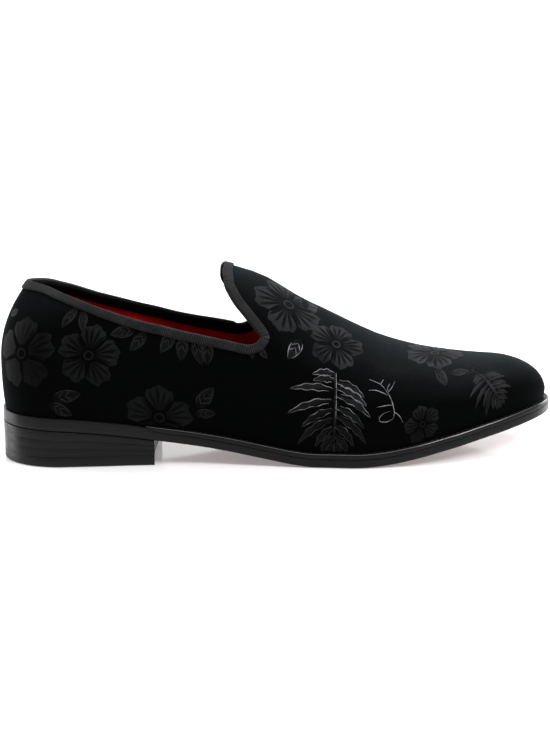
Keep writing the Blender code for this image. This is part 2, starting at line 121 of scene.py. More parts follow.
BOTTOM = table(
    "along heel toe",
    (-0.010, 1.000, 0.00),
    (0.080, 0.962, 0.00),
    (0.152, 0.878, 0.00),
    (0.276, 0.636, 0.00),
    (0.333, 0.515, 0.00),
    (0.402, 0.352, 0.00),
    (0.472, 0.160, 0.00),
    (0.515, 0.048, 0.00),
    (0.550, 0.000, 0.00),
    (0.630, 0.000, 0.00),
    (0.670, 0.000, 0.04),
    (0.724, 0.000, 0.17),
    (0.790, 0.000, 0.37),
    (0.856, 0.000, 0.58),
    (0.922, 0.000, 0.78),
    (0.972, 0.000, 0.92),
    (1.020, 0.000, 1.03),
)
COLLAR = table(
    "along height",
    (0.000, 1.013),
    (0.030, 0.998),
    (0.070, 0.956),
    (0.110, 0.917),
    (0.160, 0.873),
    (0.250, 0.820),
    (0.330, 0.781),
    (0.400, 0.764),
    (0.430, 0.759),
    (0.450, 0.790),
    (CORNER_ALONG, 0.850),
)
TONGUE = table(
    "part turn back",
    (0.00, 0.00, 0.00),
    (0.08, 0.045, 0.11),
    (0.22, 0.15, 0.43),
    (0.42, 0.32, 0.86),
    (0.60, 0.51, 1.055),
    (0.78, 0.73, 1.060),
    (0.90, 0.88, 1.005),
    (0.96, 0.95, 0.980),
    (1.00, 1.00, 0.975),
)
LIP = table(
    "along out",
    (0.00, 0.40),
    (0.22, 0.40),
    (0.32, 0.73),
    (0.60, 0.93),
    (1.00, 1.00),
)

# %% The last as functions
def smooth(rows, column, along):
    """Values of a table's column by a monotone cubic through its rows."""
    places = np.array([row[0] for row in rows], float)
    values = np.array([getattr(row, column) for row in rows], float)
    steps = np.diff(places)
    slopes = np.diff(values) / steps
    tangents = np.zeros(len(rows))
    tangents[0], tangents[-1] = slopes[0], slopes[-1]
    for i in range(1, len(rows) - 1):
        if slopes[i - 1] * slopes[i] > 0:
            before, after = 2 * steps[i] + steps[i - 1], steps[i] + 2 * steps[i - 1]
            tangents[i] = (before + after) / (before / slopes[i - 1] + after / slopes[i])
    along = np.clip(np.asarray(along, float), places[0], places[-1])
    i = np.clip(np.searchsorted(places, along, side="right") - 1, 0, len(steps) - 1)
    t = (along - places[i]) / steps[i]
    start = (1 + 2 * t) * (1 - t) ** 2 * values[i] + t * t * (3 - 2 * t) * values[i + 1]
    bend = t * (1 - t) ** 2 * tangents[i] - t * t * (1 - t) * tangents[i + 1]
    return start + bend * steps[i]


def rounding(share, power):
    share = np.clip(share, 0.0, 1.0)
    return (1 - share**power) ** (1 / power)


def ease(share):
    share = np.clip(share, 0.0, 1.0)
    return share * share * (3 - 2 * share)


def x_at(along):
    return LAST_BACK + along * LAST_LENGTH


def along_at(x):
    return (x - LAST_BACK) / LAST_LENGTH


def by_side(side, rows, outer, inner, along):
    return np.where(side == OUTER, smooth(rows, outer, along), smooth(rows, inner, along))


def centre(along):
    return TOE_SWING * smooth(SECTIONS, "swing", along)


def feather(turn):
    """Plan points of the feather: turn 0 is the heel's back, 1 the toe and 2 the back again."""
    along = turn_along(turn)
    side = np.where(np.mod(turn, 2) < 1, OUTER, INNER)
    width = SEAT_WIDTH + (BALL_WIDTH - SEAT_WIDTH) * smooth(SECTIONS, "ball", along)
    half = width * by_side(side, SECTIONS, "outer", "inner", along)
    half = half * rounding((HEEL_ROUND - along) / HEEL_ROUND, 2.0)
    half = half * rounding((along - TOE_ROUND) / (1 - TOE_ROUND), 2.0)
    return np.stack([x_at(along), centre(along) + side * half], axis=-1)


def turn_along(turn):
    return (1 - np.cos(np.pi * np.mod(turn, 2))) / 2


def beside(turn, out):
    """Plan points at a distance outside the feather."""
    path = feather(turn + 0.004) - feather(turn - 0.004)
    path = path / np.linalg.norm(path, axis=-1, keepdims=True)
    outward = np.stack([path[..., 1], -path[..., 0]], axis=-1)
    return feather(turn) + np.asarray(out)[..., None] * outward


def lip(turn):
    return SOLE_LIP * smooth(LIP, "out", turn_along(turn))


def tuck(turn):
    side = np.where(np.mod(turn, 2) < 1, OUTER, INNER)
    return BALL_WIDTH * by_side(side, SECTIONS, "tuck_outer", "tuck_inner", turn_along(turn))


def underside(x):
    along = along_at(x)
    return HEEL_RISE * smooth(BOTTOM, "heel", along) + TOE_SPRING * smooth(BOTTOM, "toe", along)


def scarf(x):
    return ease((along_at(x) - SCARF_START) / (SCARF_END - SCARF_START))


def rim_height(x):
    return SEAT_THICKNESS + (OUTSOLE_THICKNESS - SEAT_THICKNESS) * scarf(x)


DECK_HEIGHT = OUTSOLE_THICKNESS + GAP + WELT_THICKNESS


def feather_height(x):
    return underside(x) + rim_height(x) + GAP + (GAP + WELT_THICKNESS) * scarf(x)


def bulge_height(x):
    return feather_height(x) + INSTEP_HEIGHT * smooth(SECTIONS, "bulge", along_at(x))


def ridge_height(x):
    bulge = bulge_height(x)
    ridge = feather_height(x) + INSTEP_HEIGHT * smooth(SECTIONS, "ridge", along_at(x))
    return bulge + (ridge - bulge) * rounding((along_at(x) - NOSE_ROUND) / (1 - NOSE_ROUND), NOSE_POWER)


# %% [markdown]
# The wall of the upper stands out over the feather, so its widest outline is worked out once, as
# half widths along the shoe. A section then rises from that bulge to the ridge as a rounded curve,
# and the counter leans forward above the heel. The topline is a line on that same skin.

# %% The skin of the last
def widest_outline(start):
    turns = start + np.clip(np.linspace(0, 1, 1201), 0, 0.9999)
    points = beside(turns, tuck(turns))
    points = points[np.argsort(points[:, 0])]
    return points[:, 0], np.abs(points[:, 1] - centre(along_at(points[:, 0])))


WIDEST = {OUTER: widest_outline(0.0), INNER: widest_outline(1.0)}


def widest(side, x):
    return np.where(side == OUTER, np.interp(x, *WIDEST[OUTER]), np.interp(x, *WIDEST[INNER]))


def skin(side, x, angle):
    """Points of the upper's outside: angle 0 is the bulge, a quarter turn the ridge."""
    side, x, angle = np.broadcast_arrays(np.asarray(side), np.asarray(x, float), np.asarray(angle, float))
    power = 2 / smooth(SECTIONS, "fullness", along_at(x))
    across = np.cos(angle)
    side = np.where(across < 0, -side, side)
    y = centre(along_at(x)) + side * widest(side, x) * np.abs(across) ** power
    bulge, ridge = bulge_height(x), ridge_height(x)
    z = bulge + (ridge - bulge) * np.abs(np.sin(angle)) ** power
    rise = np.clip((z - bulge) / (feather_height(x) + BACK_HEIGHT - bulge), 0, None)
    lean = BACK_LEAN * rise**LEAN_POWER * (1 - ease(along_at(x) / LEAN_END))
    return np.stack([x + lean, y, z], axis=-1)


def unit(vectors):
    return vectors / np.linalg.norm(vectors, axis=-1, keepdims=True)


def skin_frame(side, x, angle):
    """Points, outward normals and the two slopes of the skin there."""
    dx, da = 0.004 * BALL_WIDTH, 0.004
    along = (skin(side, x + dx, angle) - skin(side, x - dx, angle)) / (2 * dx)
    around = (skin(side, x, angle + da) - skin(side, x, angle - da)) / (2 * da)
    normal = unit(np.cross(along, around) * -np.asarray(side)[..., None])
    return skin(side, x, angle), normal, along, around


def angle_at(x, z):
    bulge, ridge = bulge_height(x), ridge_height(x)
    rise = np.clip((z - bulge) / (ridge - bulge), 0.0, 1.0)
    return np.arcsin(rise ** (smooth(SECTIONS, "fullness", along_at(x)) / 2))


def station_turn(part):
    return part - STATION_CROWDING * np.sin(4 * np.pi * part) / (4 * np.pi)


def topline(side, part):
    """x and angle of the topline, from the back at part 0 to the tongue's peak at part 1."""
    turn = station_turn(np.minimum(part, 0.5))
    turn = np.where(side == OUTER, turn, 2 - turn)
    along = along_at(beside(turn, tuck(turn))[..., 0])
    along = along * (1 - (0.5 - CORNER_ALONG) / 0.5 * (along / 0.5) ** 2)
    x = x_at(along)
    collar_angle = angle_at(x, feather_height(x) + BACK_HEIGHT * smooth(COLLAR, "height", along))
    corner_x = x_at(CORNER_ALONG)
    corner_angle = angle_at(corner_x, feather_height(corner_x) + BACK_HEIGHT * COLLAR[-1].height)
    beyond = np.clip((part - 0.5) / 0.5, 0, 1)
    tongue_angle = corner_angle + (np.pi / 2 - corner_angle) * smooth(TONGUE, "turn", beyond)
    tongue_x = corner_x - TONGUE_REACH * smooth(TONGUE, "back", beyond)
    collar = part <= 0.5
    return np.where(collar, x, tongue_x), np.where(collar, collar_angle, tongue_angle)


def edge(side, part):
    """Topline places, points, normals, the way down, and the steps on the skin that follow it."""
    step = 0.004

    def moved(by):
        to = part + by
        turned = (to > 1) | (to < 0)
        to = np.where(to > 1, 2 - to, np.abs(to))
        new_side = np.where(turned, -side, side)
        return skin(new_side, *topline(new_side, to))

    path = moved(step) - moved(-step)
    x, angle = topline(side, part)
    point, normal, along, around = skin_frame(side, x, angle)
    down = unit(np.cross(path, normal) * -side[..., None])
    steps = []
    for a, b, d in zip(along, around, down):
        steps.append(np.linalg.lstsq(np.stack([a, b], axis=1), d, rcond=None)[0])
    return (x, angle), point, normal, down, np.array(steps)


print("last:", round(LAST_LENGTH * 1000), "mm long, ball", round(BALL_WIDTH * 1000, 1), "mm")

# %% [markdown]
# Every piece is a mesh in the shoe's own frame, moved by the offset between that frame and the
# packed one. The offset is read from the outsole's box, whose back and sides are the same outline.

# %% Building helpers
STATIONS = 150


def stations(count=STATIONS):
    """Side, part and turn of the stations round the shoe."""
    part = np.arange(count + 1) / count
    side = np.concatenate([np.full(count + 1, OUTER), np.full(count - 1, INNER)])
    part = np.concatenate([part, part[-2:0:-1]])
    turn = np.where(side == OUTER, station_turn(part), 2 - station_turn(part))
    return side, part, turn


SIDE, PART, TURN = stations()
sole_outline = beside(np.linspace(0, 2, 2001), lip(np.linspace(0, 2, 2001)))
sole_low, sole_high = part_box("outsole")
OFFSET = np.array([
    (sole_low[0] + sole_high[0]) / 2 - (sole_outline[:, 0].min() + sole_outline[:, 0].max()) / 2,
    (sole_low[1] + sole_high[1]) / 2 - (sole_outline[:, 1].min() + sole_outline[:, 1].max()) / 2,
    0.0,
])


def show(name, points, faces, looks, face_looks=None, maps=None, node=None, crease=40):
    """Object from points and faces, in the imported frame, riding on the shoe's one body."""
    mesh = bpy.data.meshes.new(name)
    mesh.from_pydata((np.asarray(points) + OFFSET).tolist(), [], [tuple(map(int, f)) for f in faces])
    for look in looks:
        mesh.materials.append(look)
    if face_looks is not None:
        mesh.polygons.foreach_set("material_index", np.asarray(face_looks, np.int32))
    if maps is not None:
        layer = mesh.uv_layers.new(name="Fabric")
        corners = np.zeros(len(mesh.loops), np.int32)
        mesh.loops.foreach_get("vertex_index", corners)
        layer.data.foreach_set("uv", np.asarray(maps, float)[corners].ravel())
    mesh.update()
    mesh.shade_smooth()
    mesh.set_sharp_from_angle(angle=math.radians(crease))
    thing = bpy.data.objects.new(name, mesh)
    bpy.context.collection.objects.link(thing)
    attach(thing, "root")
    if node:
        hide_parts(node)
    print(name, len(mesh.polygons), "faces")
    return thing


def travelled(points):
    """Distance along a line of points to each of them."""
    return np.concatenate([[0], np.cumsum(np.linalg.norm(np.diff(points, axis=0), axis=1))])


def strips(rows, count, closed_rows=False, closed_ring=True):
    """Quads between rows of points, each row a ring round the shoe or an open line."""
    faces = []
    for r in range(rows if closed_rows else rows - 1):
        low, high = r * count, (r + 1) % rows * count
        for c in range(count if closed_ring else count - 1):
            after = (c + 1) % count
            faces.append((low + c, low + after, high + after, high + c))
    return faces


def ladder(first, count, up):
    faces = []
    for rung in range(count // 2):
        face = [rung, rung + 1, (count - rung - 1) % count, (count - rung) % count]
        face = [first + corner for corner in dict.fromkeys(face)]
        if len(face) > 2:
            faces.append(tuple(face if up else face[::-1]))
    return faces


# %% [markdown]
# Materials. Velvet is a dense black pile: almost no diffuse light, and a soft grey sheen where the
# pile is seen edge on. Where a hot stamp has pressed the pile flat, it reflects like satin, and that
# is how the flowers show, black on black. Each look is a small node tree: a noise for the nap, a
# bump, and the sheen set on the shader itself. The velvet, the pressed flowers and the ribbon also
# have painted top light and sheen in their base colour: lighter where the cloth faces up.

# %% Materials
def new_look(name, colour, roughness, **sockets):
    material = bpy.data.materials.new(name)
    material.use_nodes = True
    shader = material.node_tree.nodes["Principled BSDF"]
    shader.inputs["Base Color"].default_value = (*colour, 1.0)
    shader.inputs["Roughness"].default_value = roughness
    for socket, value in sockets.items():
        shader.inputs[socket.replace("_", " ")].default_value = value
    return material, material.node_tree, shader


def add(tree, kind, **settings):
    node = tree.nodes.new(kind)
    for name, value in settings.items():
        setattr(node, name, value)
    return node


def noise(tree, scale, detail=4.0, stretch=(1.0, 1.0, 1.0), space="Object"):
    """Noise in the object's own metres, or in its cloth map."""
    where = add(tree, "ShaderNodeTexCoord")
    mapping = add(tree, "ShaderNodeMapping")
    mapping.inputs["Scale"].default_value = stretch
    texture = add(tree, "ShaderNodeTexNoise")
    texture.inputs["Scale"].default_value = scale
    texture.inputs["Detail"].default_value = detail
    tree.links.new(where.outputs[space], mapping.inputs["Vector"])
    tree.links.new(mapping.outputs["Vector"], texture.inputs["Vector"])
    return texture.outputs["Fac"]


def tint(tree, fac, stops):
    """Colour ramp from (place, colour) pairs, where a grey is one number."""
    ramp = add(tree, "ShaderNodeValToRGB")
    tones = [(at, (*(tone if isinstance(tone, tuple) else (tone,) * 3), 1.0)) for at, tone in stops]
    ramp.color_ramp.elements[0].position, ramp.color_ramp.elements[-1].position = tones[0][0], tones[-1][0]
    ramp.color_ramp.elements[0].color = tones[0][1]
    ramp.color_ramp.elements[-1].color = tones[-1][1]
    for at, tone in tones[1:-1]:
        ramp.color_ramp.elements.new(at).color = tone
    tree.links.new(fac, ramp.inputs["Fac"])
    return ramp.outputs["Color"]


def dye(tree, shader, fac, stops):
    """Base colour from a ramp."""
    tree.links.new(tint(tree, fac, stops), shader.inputs["Base Color"])


def bump(tree, height, shader, distance, strength=1.0, under=None):
    node = add(tree, "ShaderNodeBump")
    node.inputs["Distance"].default_value = distance
    node.inputs["Strength"].default_value = strength
    tree.links.new(height, node.inputs["Height"])
    if under is not None:
        tree.links.new(under, node.inputs["Normal"])
    tree.links.new(node.outputs["Normal"], shader.inputs["Normal"])
    return node.outputs["Normal"]


def sums(tree, operation, first, second):
    node = add(tree, "ShaderNodeMath", operation=operation)
    for socket, value in zip(node.inputs, (first, second)):
        if isinstance(value, (int, float)):
            socket.default_value = value
        else:
            tree.links.new(value, socket)
    return node.outputs["Value"]


def mix_in(tree, first, second, share):
    """first + second * share."""
    return sums(tree, "ADD", first, sums(tree, "MULTIPLY", second, share))


def slope(tree, value, start, rate, low, high):
    """(value - start) * rate, kept between low and high."""
    rise = sums(tree, "MULTIPLY", sums(tree, "SUBTRACT", value, start), rate)
    return sums(tree, "MINIMUM", sums(tree, "MAXIMUM", rise, low), high)


def coordinate(tree, kind, axis):
    """One part of where a point lies (Object), how it faces (Normal) or its cloth map (UV)."""
    where = add(tree, "ShaderNodeTexCoord")
    parts = add(tree, "ShaderNodeSeparateXYZ")
    tree.links.new(where.outputs[kind], parts.inputs["Vector"])
    return parts.outputs[axis]


def upward(tree):
    """How far the cloth faces up, which paints top light: 0 on the walls, 1 on top of the toe. The mesh
    isn't turned.
    """
    return coordinate(tree, "Normal", "Z")


def mottled_look(name, colour, roughness, mottle, tones, relief, grain=None, **sockets):
    """A finish of one noise for its tone, and a bump from it or from a grain of its own."""
    look, tree, shader = new_look(name, colour, roughness, **sockets)
    pattern = noise(tree, *mottle)
    if tones:
        dye(tree, shader, pattern, tones)
    if relief:
        bump(tree, noise(tree, *grain) if grain else pattern, shader, *relief)
    return look


# Painted top light and sheen: the velvet, pressed and ribbon tones go from where the cloth faces away
# from the light to where it faces up. The vein tones are the print's own, and the patch tones vary it at
# random.
VELVET_TONES_WITH_PAINTED_LIGHT = ((0.46, (0.0009, 0.0010, 0.0010)), (0.66, (0.0034, 0.0037, 0.0040)),
                (0.82, (0.0078, 0.0093, 0.0100)), (0.96, (0.0140, 0.0172, 0.0186)))
PRESSED_TONES_WITH_PAINTED_LIGHT = ((0.05, (0.0036, 0.0040, 0.0040)), (0.35, (0.0056, 0.0060, 0.0062)),
                 (0.65, (0.0135, 0.0138, 0.0155)), (1.00, (0.0225, 0.0240, 0.0275)))
VEIN_TONES = ((0.22, 1.0), (0.34, 0.50), (0.44, 0.10))
PATCH_TONES = ((0.36, 0.50), (0.50, 0.92), (0.66, 1.20))
RIBBON_TONES_WITH_PAINTED_LIGHT = ((0.27, (0.0025, 0.0025, 0.0028)), (0.60, (0.0120, 0.0123, 0.0127)),
                (0.98, (0.0360, 0.0365, 0.0375)))


def velvet_look():
    look, tree, shader = new_look("black_velvet", (0.0016, 0.0016, 0.0018), 0.95,
                                  Sheen_Weight=0.06, Sheen_Roughness=0.34,
                                  Sheen_Tint=(0.60, 0.72, 0.80, 1.0), Specular_IOR_Level=0.02)
    brushed = noise(tree, 34.0, 5.0, (1.0, 1.0, 1.7))
    # Painted top light and sheen: the pile's colour is lighter where it faces up, with the nap's noise in
    # it.
    lit = mix_in(tree, upward(tree), brushed, 0.34)
    lit = mix_in(tree, lit, noise(tree, 900.0, 3.0), 0.24)
    dye(tree, shader, sums(tree, "MULTIPLY", lit, 0.70), VELVET_TONES_WITH_PAINTED_LIGHT)
    soft = bump(tree, brushed, shader, 0.0008, 0.5)
    bump(tree, noise(tree, 2200.0, 2.0), shader, 0.00012, 0.5, soft)
    return look


# Painted shade: the pattern dims toward this place by the heel, where less light falls than on the vamp,
# to no less than a share.
HEEL_PAINTED_SHADE_FROM, HEEL_PAINTED_SHADE_RATE, HEEL_PAINTED_SHADE_LEAST = -0.155, 22.0, 0.45


def pressed_look():
    """Stamped velvet: u runs across a petal, v from the flower's heart to its rim."""
    look, tree, shader = new_look("pressed_velvet", (0.012, 0.012, 0.013), 0.6,
                                  Sheen_Weight=0.05, Sheen_Roughness=0.45,
                                  Sheen_Tint=(0.80, 0.80, 0.84, 1.0), Specular_IOR_Level=0.03)
    wobble = noise(tree, 1.0, 2.0, (5.0, 2.0, 1.0), "UV")
    turns = mix_in(tree, sums(tree, "MULTIPLY", coordinate(tree, "UV", "X"), 4 * math.pi), wobble, 1.6)
    spindles = sums(tree, "ABSOLUTE", sums(tree, "SINE", turns, 0.0), 0.0)
    fading = sums(tree, "MULTIPLY", coordinate(tree, "UV", "Y"), 1.08)
    dark = sums(tree, "SUBTRACT", sums(tree, "MULTIPLY", spindles, 1.10), fading)
    mottle = noise(tree, 260.0, 4.0)
    veins = tint(tree, mix_in(tree, dark, mottle, 0.40), VEIN_TONES)
    # Painted top light: the pressed pile is lighter where it faces up.
    shade = tint(tree, mix_in(tree, upward(tree), mottle, 0.30), PRESSED_TONES_WITH_PAINTED_LIGHT)
    # Painted shade: the pattern is darker toward the heel.
    heel_painted_shade = slope(tree, coordinate(tree, "Object", "X"), HEEL_PAINTED_SHADE_FROM, HEEL_PAINTED_SHADE_RATE, HEEL_PAINTED_SHADE_LEAST, 1.0)
    patches = tint(tree, noise(tree, 75.0, 4.0), PATCH_TONES)
    for factor in (veins, heel_painted_shade, patches):
        darkened = add(tree, "ShaderNodeVectorMath", operation="MULTIPLY")
        tree.links.new(shade, darkened.inputs[0])
        tree.links.new(factor, darkened.inputs[1])
        shade = darkened.outputs["Vector"]
    tree.links.new(shade, shader.inputs["Base Color"])
    bump(tree, noise(tree, 1900.0, 2.0), shader, 0.0001, 0.5)
    return look


# Fading lines lose their light below this height, and gain a little above it.
LINES_FADE_AT, LINES_FADE_RATE, LINES_LOSE, LINES_GAIN = 0.030, 22.0, -0.42, 0.12


def line_look(name, low, high, fading):
    """Outlines and tendrils, where the pile lies over and catches the light."""
    look, tree, shader = new_look(name, (high, high, high), 0.5, Specular_IOR_Level=0.12)
    rise = 0.10
    if fading:
        level = coordinate(tree, "Object", "Z")
        rise = slope(tree, level, LINES_FADE_AT, LINES_FADE_RATE, LINES_LOSE, LINES_GAIN)
    patchy = sums(tree, "ADD", noise(tree, 240.0, 4.0), rise)
    dye(tree, shader, patchy, ((0.22, low * 0.35), (0.44, low), (0.70, (high, high, high * 1.05))))
    return look


RIB_PITCH = 0.0009


def ribbon_look(name, strength):
    """Grosgrain: fine ribs across the ribbon, with painted top light where it faces up; u runs along the
    ribbon in metres. A strength below one makes a copy darkened with painted shade.
    """
    look, tree, shader = new_look(name, (0.012, 0.012, 0.013), 0.7,
                                  Sheen_Weight=0.03 * strength, Sheen_Roughness=0.5,
                                  Specular_IOR_Level=0.10 * strength)
    turns = sums(tree, "MULTIPLY", coordinate(tree, "UV", "X"), 2 * math.pi / RIB_PITCH)
    ribs = sums(tree, "SINE", turns, 0.0)
    threads = noise(tree, 1.0, 2.0, (900.0, 5200.0, 1.0), "UV")
    shade = mix_in(tree, sums(tree, "MULTIPLY", ribs, 0.26), threads, 0.50)
    shade = mix_in(tree, shade, noise(tree, 120.0, 4.0), 0.60)
    # Painted top light: the ribbon is lighter where it faces up.
    shade = mix_in(tree, shade, upward(tree), 0.34)
    tones = [(at, tuple(strength * value for value in tone)) for at, tone in RIBBON_TONES_WITH_PAINTED_LIGHT]
    dye(tree, shader, sums(tree, "SUBTRACT", shade, 0.14), tones)
    first = bump(tree, ribs, shader, 0.00016, 1.0)
    bump(tree, threads, shader, 0.00008, 0.6, first)
    return look


def edge_look():
    """Inked and waxed sole edge: satin black with fine trimming lines along it."""
    look, tree, shader = new_look("sole_edge", (0.004, 0.004, 0.0045), 0.26, Specular_IOR_Level=0.15)
    streaks = noise(tree, 55.0, 6.0, (1.0, 1.0, 42.0))
    dye(tree, shader, streaks, ((0.30, (0.0012, 0.0013, 0.0013)), (0.70, (0.0062, 0.0064, 0.0064))))
    rough = add(tree, "ShaderNodeMapRange")
    rough.inputs["To Min"].default_value, rough.inputs["To Max"].default_value = 0.22, 0.36
    tree.links.new(streaks, rough.inputs["Value"])
    tree.links.new(rough.outputs["Result"], shader.inputs["Roughness"])
    bump(tree, streaks, shader, 0.00010, 0.5)
    return look


VELVET = velvet_look()
PRESSED = pressed_look()
GLINT = line_look("bright_line", 0.050, 0.27, False)
FADING = line_look("fading_line", 0.022, 0.20, True)
FAINT = line_look("faint_line", 0.003, 0.013, True)
RIBBON = ribbon_look("ribbed_ribbon", 1.0)
# Painted shade: the ribbon's inner leg is the same grosgrain made darker and duller, for the shade inside
# the shoe.
RIBBON_PAINTED_SHADE = ribbon_look("ribbon_with_painted_shade", 0.22)
LINING = mottled_look("red_lining", (0.12, 0.001, 0.003), 0.78, (70.0, 5.0),
                      ((0.30, (0.23, 0.001, 0.003)), (0.70, (0.42, 0.003, 0.006))),
                      (0.0001, 0.6), (1400.0, 3.0), Sheen_Weight=0.04, Specular_IOR_Level=0.12)
EDGE = edge_look()
WAX = mottled_look("waxed_rim", (0.004, 0.004, 0.0045), 0.22, (60.0, 4.0, (1.0, 1.0, 8.0)), None,
                   (0.0001, 0.4), Coat_Weight=0.30, Coat_Roughness=0.18)
BOTTOM_RED = mottled_look("red_sole_bottom", (0.20, 0.004, 0.010), 0.40, (40.0, 6.0, (1.0, 2.5, 1.0)),
                          ((0.30, (0.10, 0.002, 0.005)), (0.72, (0.17, 0.004, 0.008))),
                          (0.0001, 0.4), Coat_Weight=0.2, Coat_Roughness=0.25)
RUBBER = mottled_look("heel_rubber", (0.011, 0.011, 0.012), 0.45, (900.0, 2.0),
                      ((0.3, (0.0022, 0.0022, 0.0024)), (0.7, (0.0048, 0.0048, 0.0050))),
                      (0.00012, 0.5), Specular_IOR_Level=0.22)
THREAD = mottled_look("black_thread", (0.008, 0.008, 0.008), 0.5, (1800.0, 2.0),
                      ((0.3, 0.003), (0.7, 0.010)), None, Specular_IOR_Level=0.12)
print("materials:", len(bpy.data.materials))

# %% [markdown]
# The upper. On the real shoe velvet and lining are closed over the last as one wall about 2 mm
# thick. Each column of points starts at the feather, swells over the bulge, and runs over the skin
# to the topline, so the mesh lies like the cloth does. The inside is the same grid moved in by the
# wall, and it shows red.

# %% Creases
CREASES = table(
    "along depth width low high",
    (0.560, -0.00022, 0.020, 0.55, 1.60),
    (0.612, -0.00030, 0.014, 0.50, 1.50),
    (0.642, 0.00022, 0.014, 0.45, 1.45),
    (0.672, -0.00026, 0.013, 0.50, 1.62),
    (0.812, 0.00018, 0.016, 0.60, 1.50),
)


def crease(x, angle):
    """Outward shift of the cloth: low ridges and troughs that run across the vamp."""
    shift = 0.0
    for along, depth, width, low, high in CREASES:
        across = np.clip((angle - low) / (high - low), 0, 1)
        shift = shift + depth * np.exp(-((along_at(x) - along) / width) ** 2) * np.sin(np.pi * across) ** 2
    return shift


def cloth(side, x, angle):
    """The skin with its creases."""
    point, normal, _, _ = skin_frame(np.asarray(side), x, angle)
    return skin(side, x, angle) + np.nan_to_num(normal) * np.asarray(crease(x, angle))[..., None]


# %% Upper
TUCK_ROWS, SKIN_ROWS, BAND_ROWS = 7, 34, 5


def tuck_rows(foot, wide, count):
    """Rows that swell from the feather to the bulge along a rounded curve."""
    start_z, wide_z = feather_height(foot[:, 0]), bulge_height(wide[:, 0])
    rows = []
    for row in range(count):
        angle = TUCK_START + (math.pi / 2 - TUCK_START) * row / count
        out = (math.sin(angle) - math.sin(TUCK_START)) / (1 - math.sin(TUCK_START))
        up = 1 - math.cos(angle) / math.cos(TUCK_START)
        rows.append(np.column_stack([foot + (wide - foot) * out, start_z + (wide_z - start_z) * up]))
    return rows


def upper_rows():
    """Rows of the outside from feather to topline, and for each the inside where the skin gives it."""
    foot, wide = beside(TURN, np.zeros(len(TURN))), beside(TURN, tuck(TURN))
    rows = tuck_rows(foot, wide, TUCK_ROWS)
    inner = [None] * len(rows)
    (edge_x, edge_angle), _, _, _, steps = edge(SIDE, PART)
    top_x, top_angle = edge_x + steps[:, 0] * RIBBON_BAND, edge_angle + steps[:, 1] * RIBBON_BAND
    power = 2 / smooth(SECTIONS, "fullness", along_at(top_x))
    top_y = centre(along_at(top_x)) + SIDE * widest(SIDE, top_x) * np.cos(top_angle) ** power
    straight = ease((PART - 0.3) / 0.2)
    for row in range(SKIN_ROWS):
        angle = top_angle * row / SKIN_ROWS
        inward = (1 - np.cos(angle) ** power) / (1 - np.cos(top_angle) ** power)
        x = wide[:, 0] + (top_x - wide[:, 0]) * inward
        y = wide[:, 1] + (top_y - wide[:, 1]) * inward
        here = 2 / smooth(SECTIONS, "fullness", along_at(x))
        share = np.abs(y - centre(along_at(x))) / np.maximum(widest(SIDE, x), 1e-6)
        turned = np.arccos(np.minimum(share, 1.0) ** (1 / here))
        angle = angle + (turned - angle) * straight
        rows.append(cloth(SIDE, x, angle))
        inner.append((x, angle))
    for row in range(BAND_ROWS + 1):
        down = RIBBON_BAND * (1 - row / BAND_ROWS)
        x, angle = edge_x + steps[:, 0] * down, edge_angle + steps[:, 1] * down
        rows.append(cloth(SIDE, x, angle))
        inner.append((x, angle))
    return np.array(rows), inner


def grid_normals(grid):
    along = np.roll(grid, -1, axis=1) - np.roll(grid, 1, axis=1)
    up = np.concatenate([grid[1:2] - grid[:1], grid[2:] - grid[:-2], grid[-1:] - grid[-2:-1]])
    return unit(np.cross(along, up))


def make_upper():
    outside, places = upper_rows()
    outside[0, :, 2] -= 0.7 * GAP
    normals = grid_normals(outside)
    middle = ease((PART - 0.30) / 0.08) * (1 - ease((PART - 0.72) / 0.12))
    for row, place in enumerate(places):
        if place is not None:
            _, exact, _, _ = skin_frame(SIDE, *place)
            share = np.ones(len(PART)) if row > len(places) - BAND_ROWS - 2 else middle
            normals[row] = unit(normals[row] + (np.nan_to_num(exact) - normals[row]) * share[:, None])
    for _ in range(3):
        around = np.roll(normals, 1, axis=1) + 2 * normals + np.roll(normals, -1, axis=1)
        around[1:-1] = around[:-2] + 2 * around[1:-1] + around[2:]
        toe = ease((PART - 0.96) / 0.03)[:, None]
        normals = unit(normals + (unit(around) - normals) * toe)
    level = ease(np.arange(len(outside)) / TUCK_ROWS)[:, None]
    inward = -normals * np.stack([np.ones_like(level), np.ones_like(level), level], axis=-1)
    inside = outside + WALL * unit(inward)
    rows = np.concatenate([outside, inside[::-1]])
    count = rows.shape[1]
    faces = strips(len(rows), count, closed_rows=True)
    looks = np.repeat(np.arange(len(rows)) >= len(outside), count).astype(int)
    looks[-count:] = 0
    return show("velvet_upper", rows.reshape(-1, 3), faces, [VELVET, LINING], looks,
                node="upper")


make_upper()

# %% [markdown]
# The topline ribbon is a grosgrain about 13 mm wide, folded over the edge and sewn down: its outer
# leg shows on the velvet, its inner leg, darkened with painted shade, makes the black band above the
# red lining. Its section is carried round the topline, and the map's u is the distance along the
# ribbon, so that the ribs stand across it everywhere.

# %% Ribbon
LEG_SHARES = (0, 0.3, 0.6, 0.9, 0.97, 1)
LEG_ROUNDING = 0.00045


def leg(width, off, toward, shares):
    """Outer face of one leg of the ribbon, rounded off toward the cloth where it ends."""
    return [(width * s, off + toward * LEG_ROUNDING * max(0.0, (s - 0.9) / 0.1) ** 2) for s in shares]


